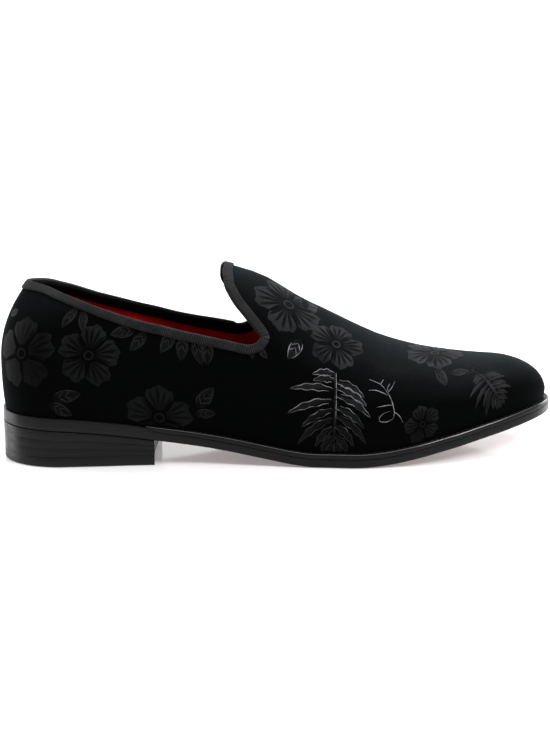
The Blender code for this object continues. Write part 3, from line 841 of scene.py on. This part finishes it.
def ribbon_section():
    """Distances down from the edge and off the cloth, round the folded ribbon."""
    near, far = GAP * 0.4, GAP + RIBBON_THICKNESS
    inner_near, inner_far = -WALL - GAP * 0.4, -WALL - GAP - RIBBON_THICKNESS
    fold = []
    for share in np.linspace(0, 1, 11)[1:-1]:
        angle = math.pi * share
        fold.append((-far * math.sin(angle), -WALL / 2 + (WALL / 2 + far) * math.cos(angle)))
    outside = leg(RIBBON_OUTSIDE, far, -1, LEG_SHARES[::-1])
    inside = leg(RIBBON_INSIDE, inner_far, 1, LEG_SHARES)
    back = [(RIBBON_INSIDE * s, inner_near) for s in (1, 0.5)] + [(-GAP, inner_near)]
    front = [(-GAP, near)] + [(RIBBON_OUTSIDE * s, near) for s in (0.5, 1)]
    return outside + fold + inside + back + front


LAP_PART, LAP_STEP, LAP_REACH, LAP_TAPER, LAP_RISE = 0.452, 0.004, 0.12, 0.1, 0.0007
PAINTED_SHADE_LEG = slice(10, -3)
RIBBON_STATIONS = 260


def make_ribbon():
    """The ribbon, whose end laps over its start on the inner side, just behind the throat."""
    side, part, _ = stations(RIBBON_STATIONS)
    begins = ease((LAP_PART - part) / LAP_STEP)
    lapped = LAP_RISE * (side == INNER) * begins * ease((part - LAP_PART + LAP_REACH) / LAP_TAPER)
    lapped = lapped[:, None]
    (x, angle), point, normal, down, steps = edge(side, part)
    length = travelled(np.concatenate([point, point[:1]]))[:-1]
    rows, maps, across = [], [], 0.0
    for distance, off in ribbon_section():
        if distance > 0:
            at, facing, _, _ = skin_frame(side, x + steps[:, 0] * distance, angle + steps[:, 1] * distance)
            rows.append(at + off * facing + lapped * facing * (1 if off > 0 else -1))
        else:
            rows.append(point + distance * down + off * normal - lapped * down)
        if len(rows) > 1:
            across += float(np.linalg.norm(rows[-1][40] - rows[-2][40]))
        maps.append(np.column_stack([length, np.full(len(length), across)]))
    faces = strips(len(rows), len(side), closed_rows=True)
    looks = np.zeros((len(rows), len(side)), int)
    # The inner half of the fold and the inner leg get the ribbon darkened with painted shade.
    looks[PAINTED_SHADE_LEG] = 1
    show("topline_ribbon", np.concatenate(rows), faces, [RIBBON, RIBBON_PAINTED_SHADE], looks.ravel(),
         np.concatenate(maps), node="topline_binding", crease=60)


make_ribbon()

# %% [markdown]
# The sole. A welt strip runs from breast to breast with its rounded lip standing out, and a row of
# stitches lies in it. Below it the outsole has a straight inked edge and a red bottom. The rings are
# the same outline at small distances in and out, so edges keep their true radii.

# %% Sole
def ring(out, height, turn=TURN):
    """Ring at a distance outside the feather and at a height over the sole's underside."""
    x_y = beside(turn, out)
    return np.column_stack([x_y, underside(x_y[:, 0]) + height(x_y[:, 0])])


def flat(level):
    """A height that is the same all along."""
    return lambda x: level + 0 * x


def closed(rows):
    """Points and faces of rings round the shoe, closed below and above."""
    count = len(rows[0])
    below, above = ladder(0, count, False), ladder((len(rows) - 1) * count, count, True)
    return np.concatenate(rows), strips(len(rows), count) + below + above


def deck_inset(turn):
    return -(WALL + GAP) - WELT_SHELF * scarf(beside(turn, np.zeros(len(turn)))[:, 0])


OUTSOLE_FOOT = table(
    "inset height",
    (0.0060, 0.0),
    (0.0015, 0.0),
    (0.0006, 0.00008),
    (0.00018, 0.0003),
    (0.0, 0.0008),
)


def make_outsole():
    """Outsole: a rounded foot, a straight side, a rounded rim, and the deck under the upper."""
    out, deck = lip(TURN), deck_inset(TURN)
    rows = [ring(out - inset, flat(height)) for inset, height in OUTSOLE_FOOT]
    for share in (0.35, 0.65):
        rows.append(ring(out, lambda x, s=share: 0.0010 + (rim_height(x) - 0.0016) * s))
    rows.append(ring(out, lambda x: rim_height(x) - 0.0004))
    rows.append(ring(out - 0.00005, lambda x: rim_height(x) - 0.0001))
    rows.append(ring(out - 0.0003, rim_height))
    rows.append(ring(deck, rim_height))
    rows.append(ring(deck, flat(DECK_HEIGHT)))
    points, faces = closed(rows)
    sides = (len(rows) - 1) * len(TURN)
    looks = np.zeros(len(faces), int)
    looks[:len(TURN)] = 1
    looks[sides:(sides + len(faces)) // 2] = 1
    show("outsole_dressed", points, faces, [EDGE, BOTTOM_RED], looks,
         node="outsole", crease=50)


def welt_turns(count=420):
    """Turns of the welt, from breast round the toe to breast."""
    turns = np.linspace(0, 2, count)
    return turns[scarf(feather(turns)[:, 0]) > 0.2]


# The welt's edge, from its foot up: how far it lies in, and its rise as a share of the strip's.
WELT_EDGE = table(
    "inset rise",
    (0.0003, 0.0),
    (0.00005, 0.07),
    (0.0, 0.20),
    (0.0, 0.62),
    (0.00006, 0.74),
    (0.00026, 0.86),
    (0.0006, 0.955),
)
WAXED_ROWS = slice(5, 8)


def make_welt():
    turns = welt_turns()
    out, deck = lip(turns), deck_inset(turns) + GAP

    def base(x):
        return rim_height(x) + GAP * 0.15

    rows = [ring(deck, base, turns)]
    for inset, rise in WELT_EDGE:
        rows.append(ring(out - inset, lambda x, r=rise: base(x) + (DECK_HEIGHT - base(x)) * r, turns))
    rows += [ring(line, flat(DECK_HEIGHT), turns) for line in (out - 0.0010, out - 0.0016, deck)]
    count = len(turns)
    faces = strips(len(rows), count, closed_rows=True, closed_ring=False)
    faces.append(tuple(k * count for k in range(len(rows)))[::-1])
    faces.append(tuple(k * count + count - 1 for k in range(len(rows))))
    looks = np.zeros((len(rows), count - 1), int)
    looks[WAXED_ROWS] = 1
    show("welt_dressed", np.concatenate(rows), faces, [EDGE, WAX], list(looks.ravel()) + [0, 0],
         node="welt", crease=60)


SOCK_EDGE = table(
    "inset rise",
    (0.0, 0.0),
    (0.0, 0.0022),
    (0.0008, INSOLE_THICKNESS - 0.0002),
    (0.0025, INSOLE_THICKNESS),
    (0.012, INSOLE_THICKNESS),
)


def make_insole():
    out = np.full(len(TURN), -(WALL + GAP))
    rows = [ring(out - inset, flat(DECK_HEIGHT + GAP + rise)) for inset, rise in SOCK_EDGE]
    points, faces = closed(rows)
    show("red_sock", points, faces, [LINING], node="insole", crease=60)


make_outsole()
make_welt()
make_insole()

# %% [markdown]
# Stitches. Real welt stitches are short loops of waxed thread about 3 mm apart, sunk a little in the
# strip. They are small rounded lengths of thread in one joined mesh, laid along the lip.

# %% Welt stitches
def bead(start, end, normal, radius, rings=4, sides=6):
    """Points and faces of a short rounded stitch between two points."""
    along = unit(end - start)
    across = unit(np.cross(normal, along))
    points, faces = [start], []
    for r in range(rings):
        share = (r + 1) / (rings + 1)
        girth = radius * math.sin(math.pi * share) ** 0.5
        middle = start + (end - start) * share
        for s in range(sides):
            angle = 2 * math.pi * s / sides
            points.append(middle + girth * (math.cos(angle) * across + math.sin(angle) * normal))
    points.append(end)
    for s in range(sides):
        after = (s + 1) % sides
        faces.append((0, 1 + after, 1 + s))
        for r in range(rings - 1):
            a, b = 1 + r * sides, 1 + (r + 1) * sides
            faces.append((a + s, a + after, b + after, b + s))
        last = 1 + (rings - 1) * sides
        faces.append((last + s, last + after, len(points) - 1))
    return points, faces


STITCH_PITCH, STITCH_LENGTH, STITCH_RADIUS = 0.0032, 0.0027, 0.00022
STITCH_INSET, STITCH_SUNK = 0.0021, 0.00004
UP = np.array([0.0, 0.0, 1.0])


def make_welt_stitches():
    """Stitches laid end to end along the welt's lip."""
    turns = welt_turns()[6:-6]
    line = ring(lip(turns) - STITCH_INSET, flat(DECK_HEIGHT - STITCH_SUNK), turns)
    travel = travelled(line)
    points, faces = [], []
    for start in np.arange(STITCH_PITCH, travel[-1] - STITCH_PITCH, STITCH_PITCH):
        ends = []
        for along in (start, start + STITCH_LENGTH):
            ends.append(np.array([np.interp(along, travel, line[:, k]) for k in range(3)]))
        stitch, stitch_faces = bead(*ends, UP, STITCH_RADIUS)
        faces += [tuple(len(points) + corner for corner in face) for face in stitch_faces]
        points += stitch
    show("welt_stitches", points, faces, [THREAD])


make_welt_stitches()

# %% [markdown]
# The heel is stacked from lifts, inked black and waxed, so only faint lines tell the lifts apart.
# Under it lies a rubber top piece. The breast, its front face, is a little hollow.

# %% Heel
def breast_x(y):
    share = np.clip(y / (SEAT_WIDTH / 2), -1, 1)
    line = (BREAST_OUTER + BREAST_INNER) / 2 + (BREAST_INNER - BREAST_OUTER) / 2 * share
    return line - BREAST_HOLLOW * (1 - share * share)


def heel_ring(inset, height):
    """Ring round the heel, closed by its breast."""
    outline = {}
    for side, corner in ((OUTER, BREAST_OUTER), (INNER, BREAST_INNER)):
        end = math.acos(1 - 2 * along_at(corner)) / math.pi
        turns = np.linspace(0, end, 44)
        turns = turns if side == OUTER else (2 - turns) % 2
        outline[side] = beside(turns, lip(turns) - inset)
    face_y = np.linspace(outline[OUTER][-1, 1], outline[INNER][-1, 1], 13)[1:-1]
    face = np.column_stack([breast_x(face_y), face_y])
    plan = np.concatenate([outline[OUTER], face, outline[INNER][:0:-1]])
    return np.column_stack([plan, height(plan[:, 0]) + 0 * plan[:, 0]])


def capped(rows):
    count = len(rows[0])
    faces = strips(len(rows), count)
    faces.append(tuple(range(count))[::-1])
    faces.append(tuple(range((len(rows) - 1) * count, len(rows) * count)))
    return np.concatenate(rows), faces


# Shares of the heel's height from a seam to where its groove ends, and the groove's depth
SEAM_HALF, SEAM_SHOULDER, SEAM_DEPTH = 0.003, 0.012, 0.00003
RUBBER_EDGE = table(
    "inset height",
    (0.0006, 0.0),
    (0.0002, 0.0003),
    (0.0, 0.0008),
    (0.0, TOP_PIECE_THICKNESS - 0.0002),
    (0.0001, TOP_PIECE_THICKNESS),
)


def make_heel():
    """Lifts with faint seams between them, and the rubber below."""
    low = TOP_PIECE_THICKNESS + GAP * 0.3
    rows = []
    for lift in range(LIFT_COUNT):
        start, end = lift / LIFT_COUNT, (lift + 1) / LIFT_COUNT
        shares = (start + SEAM_HALF, start + SEAM_SHOULDER, end - SEAM_SHOULDER, end - SEAM_HALF)
        for share, groove in zip(shares, (SEAM_DEPTH, 0.0, 0.0, SEAM_DEPTH)):
            rows.append(heel_ring(HEEL_TAPER * (1 - share) + groove,
                                  lambda x, s=share: low + (underside(x) - GAP * 0.3 - low) * s))
    points, faces = capped(rows)
    show("stacked_heel", points, faces, [EDGE], node="heel_block", crease=55)
    points, faces = capped([heel_ring(HEEL_TAPER + inset, flat(height)) for inset, height in RUBBER_EDGE])
    show("heel_rubber", points, faces, [RUBBER], node="heel_top_piece", crease=55)


make_heel()

# %% [markdown]
# The pressed flowers. A stamp presses a flat drawing into cloth that then goes over the last, so
# each motif is drawn flat and laid on the skin by a map: u is the distance round the
# shoe from the heel's back, v the distance up the wall from the feather. The motif lies a hair above
# the pile, which stands for the changed lie of the cloth.

# %% Map of the skin
MAP_ACROSS, MAP_TUCK, MAP_TURN = 260, 10, 70


def skin_map(side):
    """Grid of points, with the distance round and the distance up of each."""
    turns = np.linspace(0, 1, MAP_ACROSS) if side == OUTER else np.linspace(2, 1, MAP_ACROSS)
    foot, wide = beside(turns, np.zeros(MAP_ACROSS)), beside(turns, tuck(np.minimum(turns, 1.9999)))
    rows = tuck_rows(foot, wide, MAP_TUCK)
    cells = [None] * len(rows)
    for angle in np.linspace(0, math.pi, 2 * MAP_TURN):
        rows.append(cloth(np.full(MAP_ACROSS, side), wide[:, 0], np.full(MAP_ACROSS, angle)))
        cells.append(uncovered(wide[:, 0], angle))
    grid = np.array(rows)
    bare = np.array([np.zeros(MAP_ACROSS, bool) if cell is None else cell for cell in cells])
    steps = np.linalg.norm(np.diff(grid, axis=0), axis=2)
    climb = np.concatenate([np.zeros((1, MAP_ACROSS)), np.cumsum(steps, axis=0)])
    return travelled(wide), climb, grid, bare


def uncovered(x, angle, margin=0.0012):
    """Whether a place on the skin lies past the topline, in the foot's opening."""
    up = min(angle, math.pi - angle)
    corner_x = x_at(CORNER_ALONG)
    corner_angle = float(topline(np.array([OUTER]), np.array([0.5]))[1][0])
    z = skin(np.full(len(x), OUTER), x, np.full(len(x), up))[:, 2]
    rim = feather_height(x) + BACK_HEIGHT * smooth(COLLAR, "height", along_at(x)) - margin
    share = np.clip((up - corner_angle) / (math.pi / 2 - corner_angle), 0, 1)
    tongue_part = np.interp(share, [row.turn for row in TONGUE], [row.part for row in TONGUE])
    tongue_x = corner_x - TONGUE_REACH * smooth(TONGUE, "back", tongue_part) + margin
    return (x < corner_x + margin) & (z > rim) & ((x < tongue_x) | (up < corner_angle))


SKIN_MAPS = {OUTER: skin_map(OUTER), INNER: skin_map(INNER)}


def on_skin(u, v):
    """Points at distance u round the shoe (outer side positive) and v up, and whether each is bare."""
    u, v = np.asarray(u, float), np.asarray(v, float)
    points, bare = np.zeros((len(u), 3)), np.zeros(len(u), bool)
    for side in (OUTER, INNER):
        for k in np.flatnonzero((u >= 0) == (side == OUTER)):
            round_, climb, grid, open_cells = SKIN_MAPS[side]
            place = np.interp(abs(u[k]), round_, np.arange(MAP_ACROSS))
            column = min(int(place), MAP_ACROSS - 2)
            ends = []
            for c in (column, column + 1):
                row = np.interp(v[k], climb[:, c], np.arange(len(climb)))
                base = min(int(row), len(climb) - 2)
                ends.append(grid[base, c] + (grid[base + 1, c] - grid[base, c]) * (row - base))
                bare[k] |= open_cells[base, c]
            points[k] = ends[0] + (ends[1] - ends[0]) * (place - column)
    return points, bare


def laid(drawing, u, v, turn, lift):
    """Flat points in metres, turned and laid on the skin a little above it."""
    c, s = math.cos(turn), math.sin(turn)
    a = u + drawing[:, 0] * c - drawing[:, 1] * s
    b = v + drawing[:, 0] * s + drawing[:, 1] * c
    step = 0.0006
    here, bare = on_skin(a, b)
    across = on_skin(a + step, b)[0] - here
    up = on_skin(a, b + step)[0] - here
    bare |= b < 0.0004
    facing = unit(np.cross(across, up) + 1e-12)
    return here + lift * facing, bare


# %% [markdown]
# Four kinds of common motif are enough: a five petalled flower with scalloped rims, a plain leaf, a
# fern frond of slim leaflets, and a tendril. Each is drawn by a short function in its own size, and
# a table places them: on the outer side and the vamp as the photo shows them, and on the hidden side
# in the same rhythm. What would lie past the topline or below the feather is trimmed off.

# %% Motifs
LIFT = 0.00013
LINE_KINDS = ("faint", "fading", "glint")
motif_parts = {kind: ([], [], []) for kind in ("pressed",) + LINE_KINDS}


def collect(kind, drawing, faces, maps, at, lift=LIFT):
    """Lay a drawing on the shoe and keep it, without what would hang over an edge."""
    u, v, turn, shine = at
    points, bare = laid(drawing, u, v, turn, lift)
    if kind == "line":
        kind = LINE_KINDS[shine]
    all_points, all_faces, all_maps = motif_parts[kind]
    first = sum(len(p) for p in all_points)
    all_points.append(points)
    all_maps.append(maps)
    for face in faces:
        if not any(bare[corner] for corner in face):
            all_faces.append(tuple(first + corner for corner in face))


def patch(rows, columns):
    return strips(rows, columns, closed_ring=False)


PETALS, PETAL_FROM, HEART = 5, 0.24, 0.155


def flower(at, radius):
    """Broad petals with a scalloped rim round a small ring."""
    across, out = 21, 12
    share = np.linspace(-1, 1, across)
    sector = 2 * math.pi / PETALS
    for petal in range(PETALS):
        lobes = 0.040 * np.cos(2.5 * np.pi * share + 0.7 * petal) + 0.016 * np.cos(6 * np.pi * share)
        rim = 0.97 - 0.26 * np.abs(share) ** 3.2 + lobes
        points, maps = [], []
        for step in np.linspace(0, 1, out):
            reach = radius * (PETAL_FROM + (rim - PETAL_FROM) * step)
            spread = 0.48 * sector * (0.52 + 0.47 * step**0.45)
            angle = petal * sector + share * spread
            points.append(np.column_stack([reach * np.cos(angle), reach * np.sin(angle)]))
            maps.append(np.column_stack([0.5 + 0.5 * share + petal, np.full(across, step)]))
        collect("pressed", np.concatenate(points), patch(out, across), np.concatenate(maps), at)
    angle = np.linspace(0, 2 * math.pi, 25)
    around = np.column_stack([np.cos(angle), np.sin(angle)])
    heart = np.concatenate([HEART * 0.68 * radius * around, HEART * radius * around])
    collect("pressed", heart, patch(2, 25), np.full((50, 2), 1.0), at)


def stroke(line, width, at, kind="line"):
    """Thin tapered line drawn through flat points."""
    line = np.asarray(line, float)
    count = max(12, 5 * len(line))
    place = np.linspace(0, len(line) - 1, count)
    middle = np.column_stack([np.interp(place, np.arange(len(line)), line[:, k]) for k in range(2)])
    for _ in range(3):
        middle[1:-1] = (middle[:-2] + 2 * middle[1:-1] + middle[2:]) / 4
    path = unit(np.gradient(middle, axis=0))
    half = width / 2 * np.sin(np.pi * np.linspace(0.08, 0.97, count)) ** 0.6
    across = np.column_stack([-path[:, 1], path[:, 0]]) * half[:, None]
    maps = np.column_stack([np.repeat([0.0, 1.0], count), np.full(2 * count, 1.0)])
    faces = [(c, c + 1, count + c + 1, count + c) for c in range(count - 1)]
    collect(kind, np.concatenate([middle - across, middle + across]), faces, maps, at, LIFT * 1.4)


def leaf(at, length, plump=0.42):
    """Pointed leaf whose stalk is at its place: two dull halves, an outline and slanting veins."""
    along, across = 15, 5
    step = np.linspace(0, 1, along)
    half = length * plump * 0.5 * np.sin(np.pi * step**0.8) ** 0.85
    for side in (-1, 1):
        share = np.linspace(0.10, 1, across)
        points = []
        for s, h in zip(step, half):
            points.append(np.column_stack([np.full(across, length * s), side * (h * share)]))
        maps = [np.column_stack([0.15 + share * 0.4, np.full(across, 0.35 + 0.6 * s)]) for s in step]
        faces = patch(along, across)
        faces = faces if side > 0 else [face[::-1] for face in faces]
        collect("pressed", np.concatenate(points), faces, np.concatenate(maps), at)
        outline = np.column_stack([length * step, side * half])
        stroke(outline[2:13] if side > 0 else outline[5:14], 0.0004, at)
        for k in (4, 7):
            tip = (length * step[k + 2], side * half[k + 2] * 0.85)
            stroke([(length * step[k - 1], 0), tip], 0.0004, at)


def blade(start, heading, length, width, at):
    """Slim leaflet of a frond: a dull toothed body with outlines that open toward its tip."""
    step = np.linspace(0, 1, 17)
    bend = 0.09 * length * np.sin(np.pi * step) * math.copysign(1.0, math.sin(heading))
    c, s = math.cos(heading), math.sin(heading)
    along = np.column_stack([c * length * step - s * bend, s * length * step + c * bend]) + start
    path = unit(np.gradient(along, axis=0))
    teeth = 1 + 0.22 * np.sin(step * 7 * math.pi)
    half = width / 2 * np.sin(np.pi * step**0.8) ** 0.8 * teeth + 0.00003
    across = np.column_stack([-path[:, 1], path[:, 0]]) * half[:, None]
    sides = [along - across, along, along + across]
    maps = [np.column_stack([np.full(17, 0.1 + k * 0.1), 0.25 + 0.7 * step]) for k in range(3)]
    faces = [face[::-1] for face in patch(3, 17)]
    collect("pressed", np.concatenate(sides), faces, np.concatenate(maps), at)
    stroke(sides[0][1:], 0.00042, at)
    stroke(sides[2][2:], 0.00036, at)


FROND = table(
    "place side reach droop",
    (0.02, -1, 0.27, 88),
    (0.10, -1, 0.26, 90),
    (0.10, 1, 0.40, 62),
    (0.17, 1, 0.44, 60),
    (0.22, -1, 0.54, 88),
    (0.26, 1, 0.50, 58),
    (0.34, -1, 0.60, 70),
    (0.40, 1, 0.44, 54),
    (0.44, -1, 0.46, 58),
    (0.50, 1, 0.52, 48),
    (0.54, -1, 0.56, 50),
    (0.62, 1, 0.36, 42),
    (0.65, -1, 0.34, 40),
    (0.74, 1, 0.30, 34),
    (0.76, -1, 0.28, 30),
    (0.84, 1, 0.20, 18),
    (0.86, -1, 0.18, 16),
)


BLADE_WIDTH = 0.078


def fern(at, length):
    """Frond: a midrib with slim leaflets of uneven reach that droop more toward its end."""
    stroke([(0, 0), (length * 0.45, 0.0004), (length * 0.9, 0)], 0.0017, at, "pressed")
    stroke([(0, 0.0007), (length * 0.3, 0.0008), (length * 0.6, 0.0006)], 0.0004, at)
    for place, side, reach, droop in FROND:
        root, heading = np.array([length * place, 0.0]), side * math.radians(droop)
        blade(root, heading, length * reach, length * BLADE_WIDTH, at)


def tendril(at, size):
    """Branched tendril: a curved stem from its fork, arms, a fork of buds and a curl."""
    for line in (
        [(-0.55, 0.48), (-0.20, 0.30), (0.0, 0.0), (0.12, -0.30), (0.18, -0.62), (0.14, -0.80)],
        [(0.18, -0.62), (0.33, -0.76), (0.44, -1.0)],
        [(-0.58, 0.14), (-0.35, 0.12), (-0.13, 0.0), (0.0, -0.09)],
        [(0.0, 0.0), (0.14, 0.13), (0.25, 0.33)],
        [(0.02, 0.04), (-0.01, 0.14), (0.08, 0.27)],
        [(-0.20, 0.30), (-0.10, 0.44)],
        [(0.13, -0.40), (-0.06, -0.38), (-0.35, -0.40)],
        [(0.14, -0.80), (-0.04, -0.88), (-0.28, -0.84), (-0.30, -0.72), (-0.16, -0.60), (0.05, -0.57)],
    ):
        stroke(np.array(line) * size, 0.00036, at)


MOTIFS = table(
    "kind u v size turn shine",
    ("flower", 0.0285, 0.0340, 0.0198, 95, 0),
    ("flower", 0.0660, 0.0360, 0.0170, 12, 0),
    ("flower", 0.1040, 0.0055, 0.0182, 90, 0),
    ("flower", 0.1760, 0.0830, 0.0195, 250, 0),
    ("flower", 0.2010, 0.0612, 0.0153, 70, 0),
    ("flower", 0.2464, 0.0105, 0.0105, 30, 0),
    ("flower", 0.2600, 0.0600, 0.0190, 200, 0),
    ("leaf", 0.0535, 0.0620, 0.0130, 250, 0),
    ("leaf", 0.0580, 0.0600, 0.0120, 285, 0),
    ("leaf", 0.0170, 0.0560, 0.0100, 200, 0),
    ("leaf", 0.0470, 0.0110, 0.0160, 15, 0),
    ("leaf", 0.0450, 0.0080, 0.0140, -25, 0),
    ("leaf", 0.1240, 0.0140, 0.0160, 55, 0),
    ("leaf", 0.1230, 0.0100, 0.0120, 15, 0),
    ("leaf", 0.0900, 0.0530, 0.0150, 200, 0),
    ("leaf", 0.0960, 0.0520, 0.0140, 235, 0),
    ("leaf", 0.1120, 0.0540, 0.0150, 240, 0),
    ("leaf", 0.1170, 0.0530, 0.0150, 265, 0),
    ("leaf", 0.1230, 0.0530, 0.0160, 285, 0),
    ("leaf", 0.1300, 0.0530, 0.0150, 270, 0),
    ("leaf", 0.1520, 0.0540, 0.0085, 290, 0),
    ("leaf", 0.1570, 0.0540, 0.0085, 310, 0),
    ("leaf", 0.1815, 0.0620, 0.0150, 238, 2),
    ("fern", 0.1990, 0.0440, 0.0450, -92, 1),
    ("tendril", 0.2275, 0.0318, 0.0180, 0, 2),
    ("leaf", 0.2575, 0.0415, 0.0145, -72, 0),
    ("leaf", 0.2650, 0.0360, 0.0130, -8, 0),
    ("tendril", 0.2800, 0.0330, 0.0090, 30, 0),
    ("fern", 0.2840, 0.0290, 0.0250, -60, 0),
    ("flower", -0.0285, 0.0340, 0.0190, 60, 0),
    ("flower", -0.0680, 0.0350, 0.0165, 20, 0),
    ("flower", -0.1180, 0.0130, 0.0175, 80, 0),
    ("flower", -0.1740, 0.0640, 0.0180, 40, 0),
    ("flower", -0.2230, 0.0480, 0.0150, 10, 0),
    ("flower", -0.2480, 0.0120, 0.0110, 50, 0),
    ("leaf", -0.0520, 0.0600, 0.0120, -60, 0),
    ("leaf", -0.0930, 0.0470, 0.0130, -45, 0),
    ("leaf", -0.1350, 0.0500, 0.0140, -80, 0),
    ("leaf", -0.1400, 0.0180, 0.0140, 130, 0),
    ("fern", -0.1880, 0.0440, 0.0420, -88, 1),
    ("tendril", -0.2200, 0.0280, 0.0160, 10, 2),
    ("leaf", -0.2580, 0.0400, 0.0140, -110, 0),
    ("fern", -0.2840, 0.0290, 0.0250, -120, 0),
)
DRAW = {"flower": flower, "leaf": leaf, "fern": fern, "tendril": tendril}


def place_motifs():
    for kind, u, v, size, turn, shine in MOTIFS:
        DRAW[kind]((u, v, math.radians(turn), shine), size)
    for name, kind, look in (("pressed_flowers", "pressed", PRESSED), ("bright_outlines", "glint", GLINT),
                             ("fading_outlines", "fading", FADING), ("faint_outlines", "faint", FAINT)):
        points, faces, maps = motif_parts[kind]
        show(name, np.concatenate(points), faces, [look], maps=np.concatenate(maps),
             crease=80)


place_motifs()

# %% [markdown]
# Floor, light and camera. The photo is a product shot on glossy white, lit softly from above and in
# front. The camera stands a little behind the shoe's middle and about twelve degrees up, one metre
# away, with a long lens.

# %% Floor and light
FLOOR_HALF, LIT_FROM, SWEEP_FROM, SWEEP_ROUND = 6.0, 0.9, 3.0, 2.0


def make_floor():
    """Pale floor, and past it a lit white sweep as the backdrop."""
    profile = [(-FLOOR_HALF, 0.0), (LIT_FROM, 0.0), (SWEEP_FROM, 0.0)]
    for k in range(1, 13):
        angle = math.pi / 2 * k / 12
        profile.append((SWEEP_FROM + SWEEP_ROUND * math.sin(angle), SWEEP_ROUND * (1 - math.cos(angle))))
    points = [(side * FLOOR_HALF, y, z) for y, z in profile for side in (-1, 1)]
    faces = [(2 * k, 2 * k + 1, 2 * k + 3, 2 * k + 2) for k in range(len(profile) - 1)]
    mesh = bpy.data.meshes.new("floor")
    mesh.from_pydata(points, [], faces)
    mesh.shade_smooth()
    floor = bpy.data.objects.new("floor", mesh)
    floor.location.z = -0.0002
    bpy.context.collection.objects.link(floor)
    for name, glow in (("pale_floor", 0.22), ("lit_backdrop", 1.0)):
        mesh.materials.append(mottled_look(
            name, (0.9, 0.9, 0.9), 0.12, (30.0, 2.0), ((0.3, 0.895), (0.7, 0.905)), None,
            Specular_IOR_Level=0.3, Emission_Color=(1.0, 1.0, 1.0, 1.0), Emission_Strength=glow))
    mesh.polygons.foreach_set("material_index", [0] + [1] * (len(faces) - 1))


def make_light(name, place, aim, size, power):
    lamp = bpy.data.lights.new(name, "AREA")
    lamp.shape, lamp.size, lamp.energy = "SQUARE", size, power
    holder = bpy.data.objects.new(name, lamp)
    holder.location = place
    facing = np.array(aim) - np.array(place)
    holder.rotation_euler = (
        math.atan2(math.hypot(facing[0], facing[1]), -facing[2]), 0.0, math.atan2(-facing[0], facing[1]))
    bpy.context.collection.objects.link(holder)


make_floor()
LAMPS = table(
    "name place aim size power",
    ("top_light", (0.0, 0.3, 2.2), (0, 0.2, 0), 3.0, 62.0),
    ("front_light", (0.85, -0.75, 1.05), (0.03, 0, 0.05), 0.5, 14.0),
    ("toe_light", (0.75, 0.35, 0.25), (0.12, 0, 0.03), 0.35, 3.0),
    ("heel_light", (-0.80, 0.30, 0.22), (-0.12, 0, 0.03), 0.35, 3.0),
)
for lamp_row in LAMPS:
    make_light(*lamp_row)
world = bpy.data.worlds.new("studio")
world.use_nodes = True
world.node_tree.nodes["Background"].inputs["Color"].default_value = (1.0, 1.0, 1.0, 1.0)
world.node_tree.nodes["Background"].inputs["Strength"].default_value = 0.35
bpy.context.scene.world = world
bpy.context.scene.view_settings.view_transform = "Standard"

# %% Camera
CAMERA_AROUND, CAMERA_UP, CAMERA_AWAY = math.radians(-5.5), math.radians(12), 1.05
CAMERA_FOCUS = (0.1504, 0.0, 0.0464)
FOCAL_PIXELS, LONG_SIDE = 1890.0, 733.0
SENSOR = 36.0


def make_camera():
    data = bpy.data.cameras.new("camera")
    data.sensor_width = SENSOR
    data.lens = FOCAL_PIXELS / LONG_SIDE * SENSOR
    camera = bpy.data.objects.new("camera", data)
    around, up = CAMERA_AROUND, CAMERA_UP
    back = np.array([math.sin(around) * math.cos(up), -math.cos(around) * math.cos(up), math.sin(up)])
    camera.location = np.array(CAMERA_FOCUS) + OFFSET + CAMERA_AWAY * back
    camera.rotation_euler = (math.pi / 2 - up, 0.0, around)
    bpy.context.collection.objects.link(camera)
    bpy.context.scene.camera = camera


make_camera()
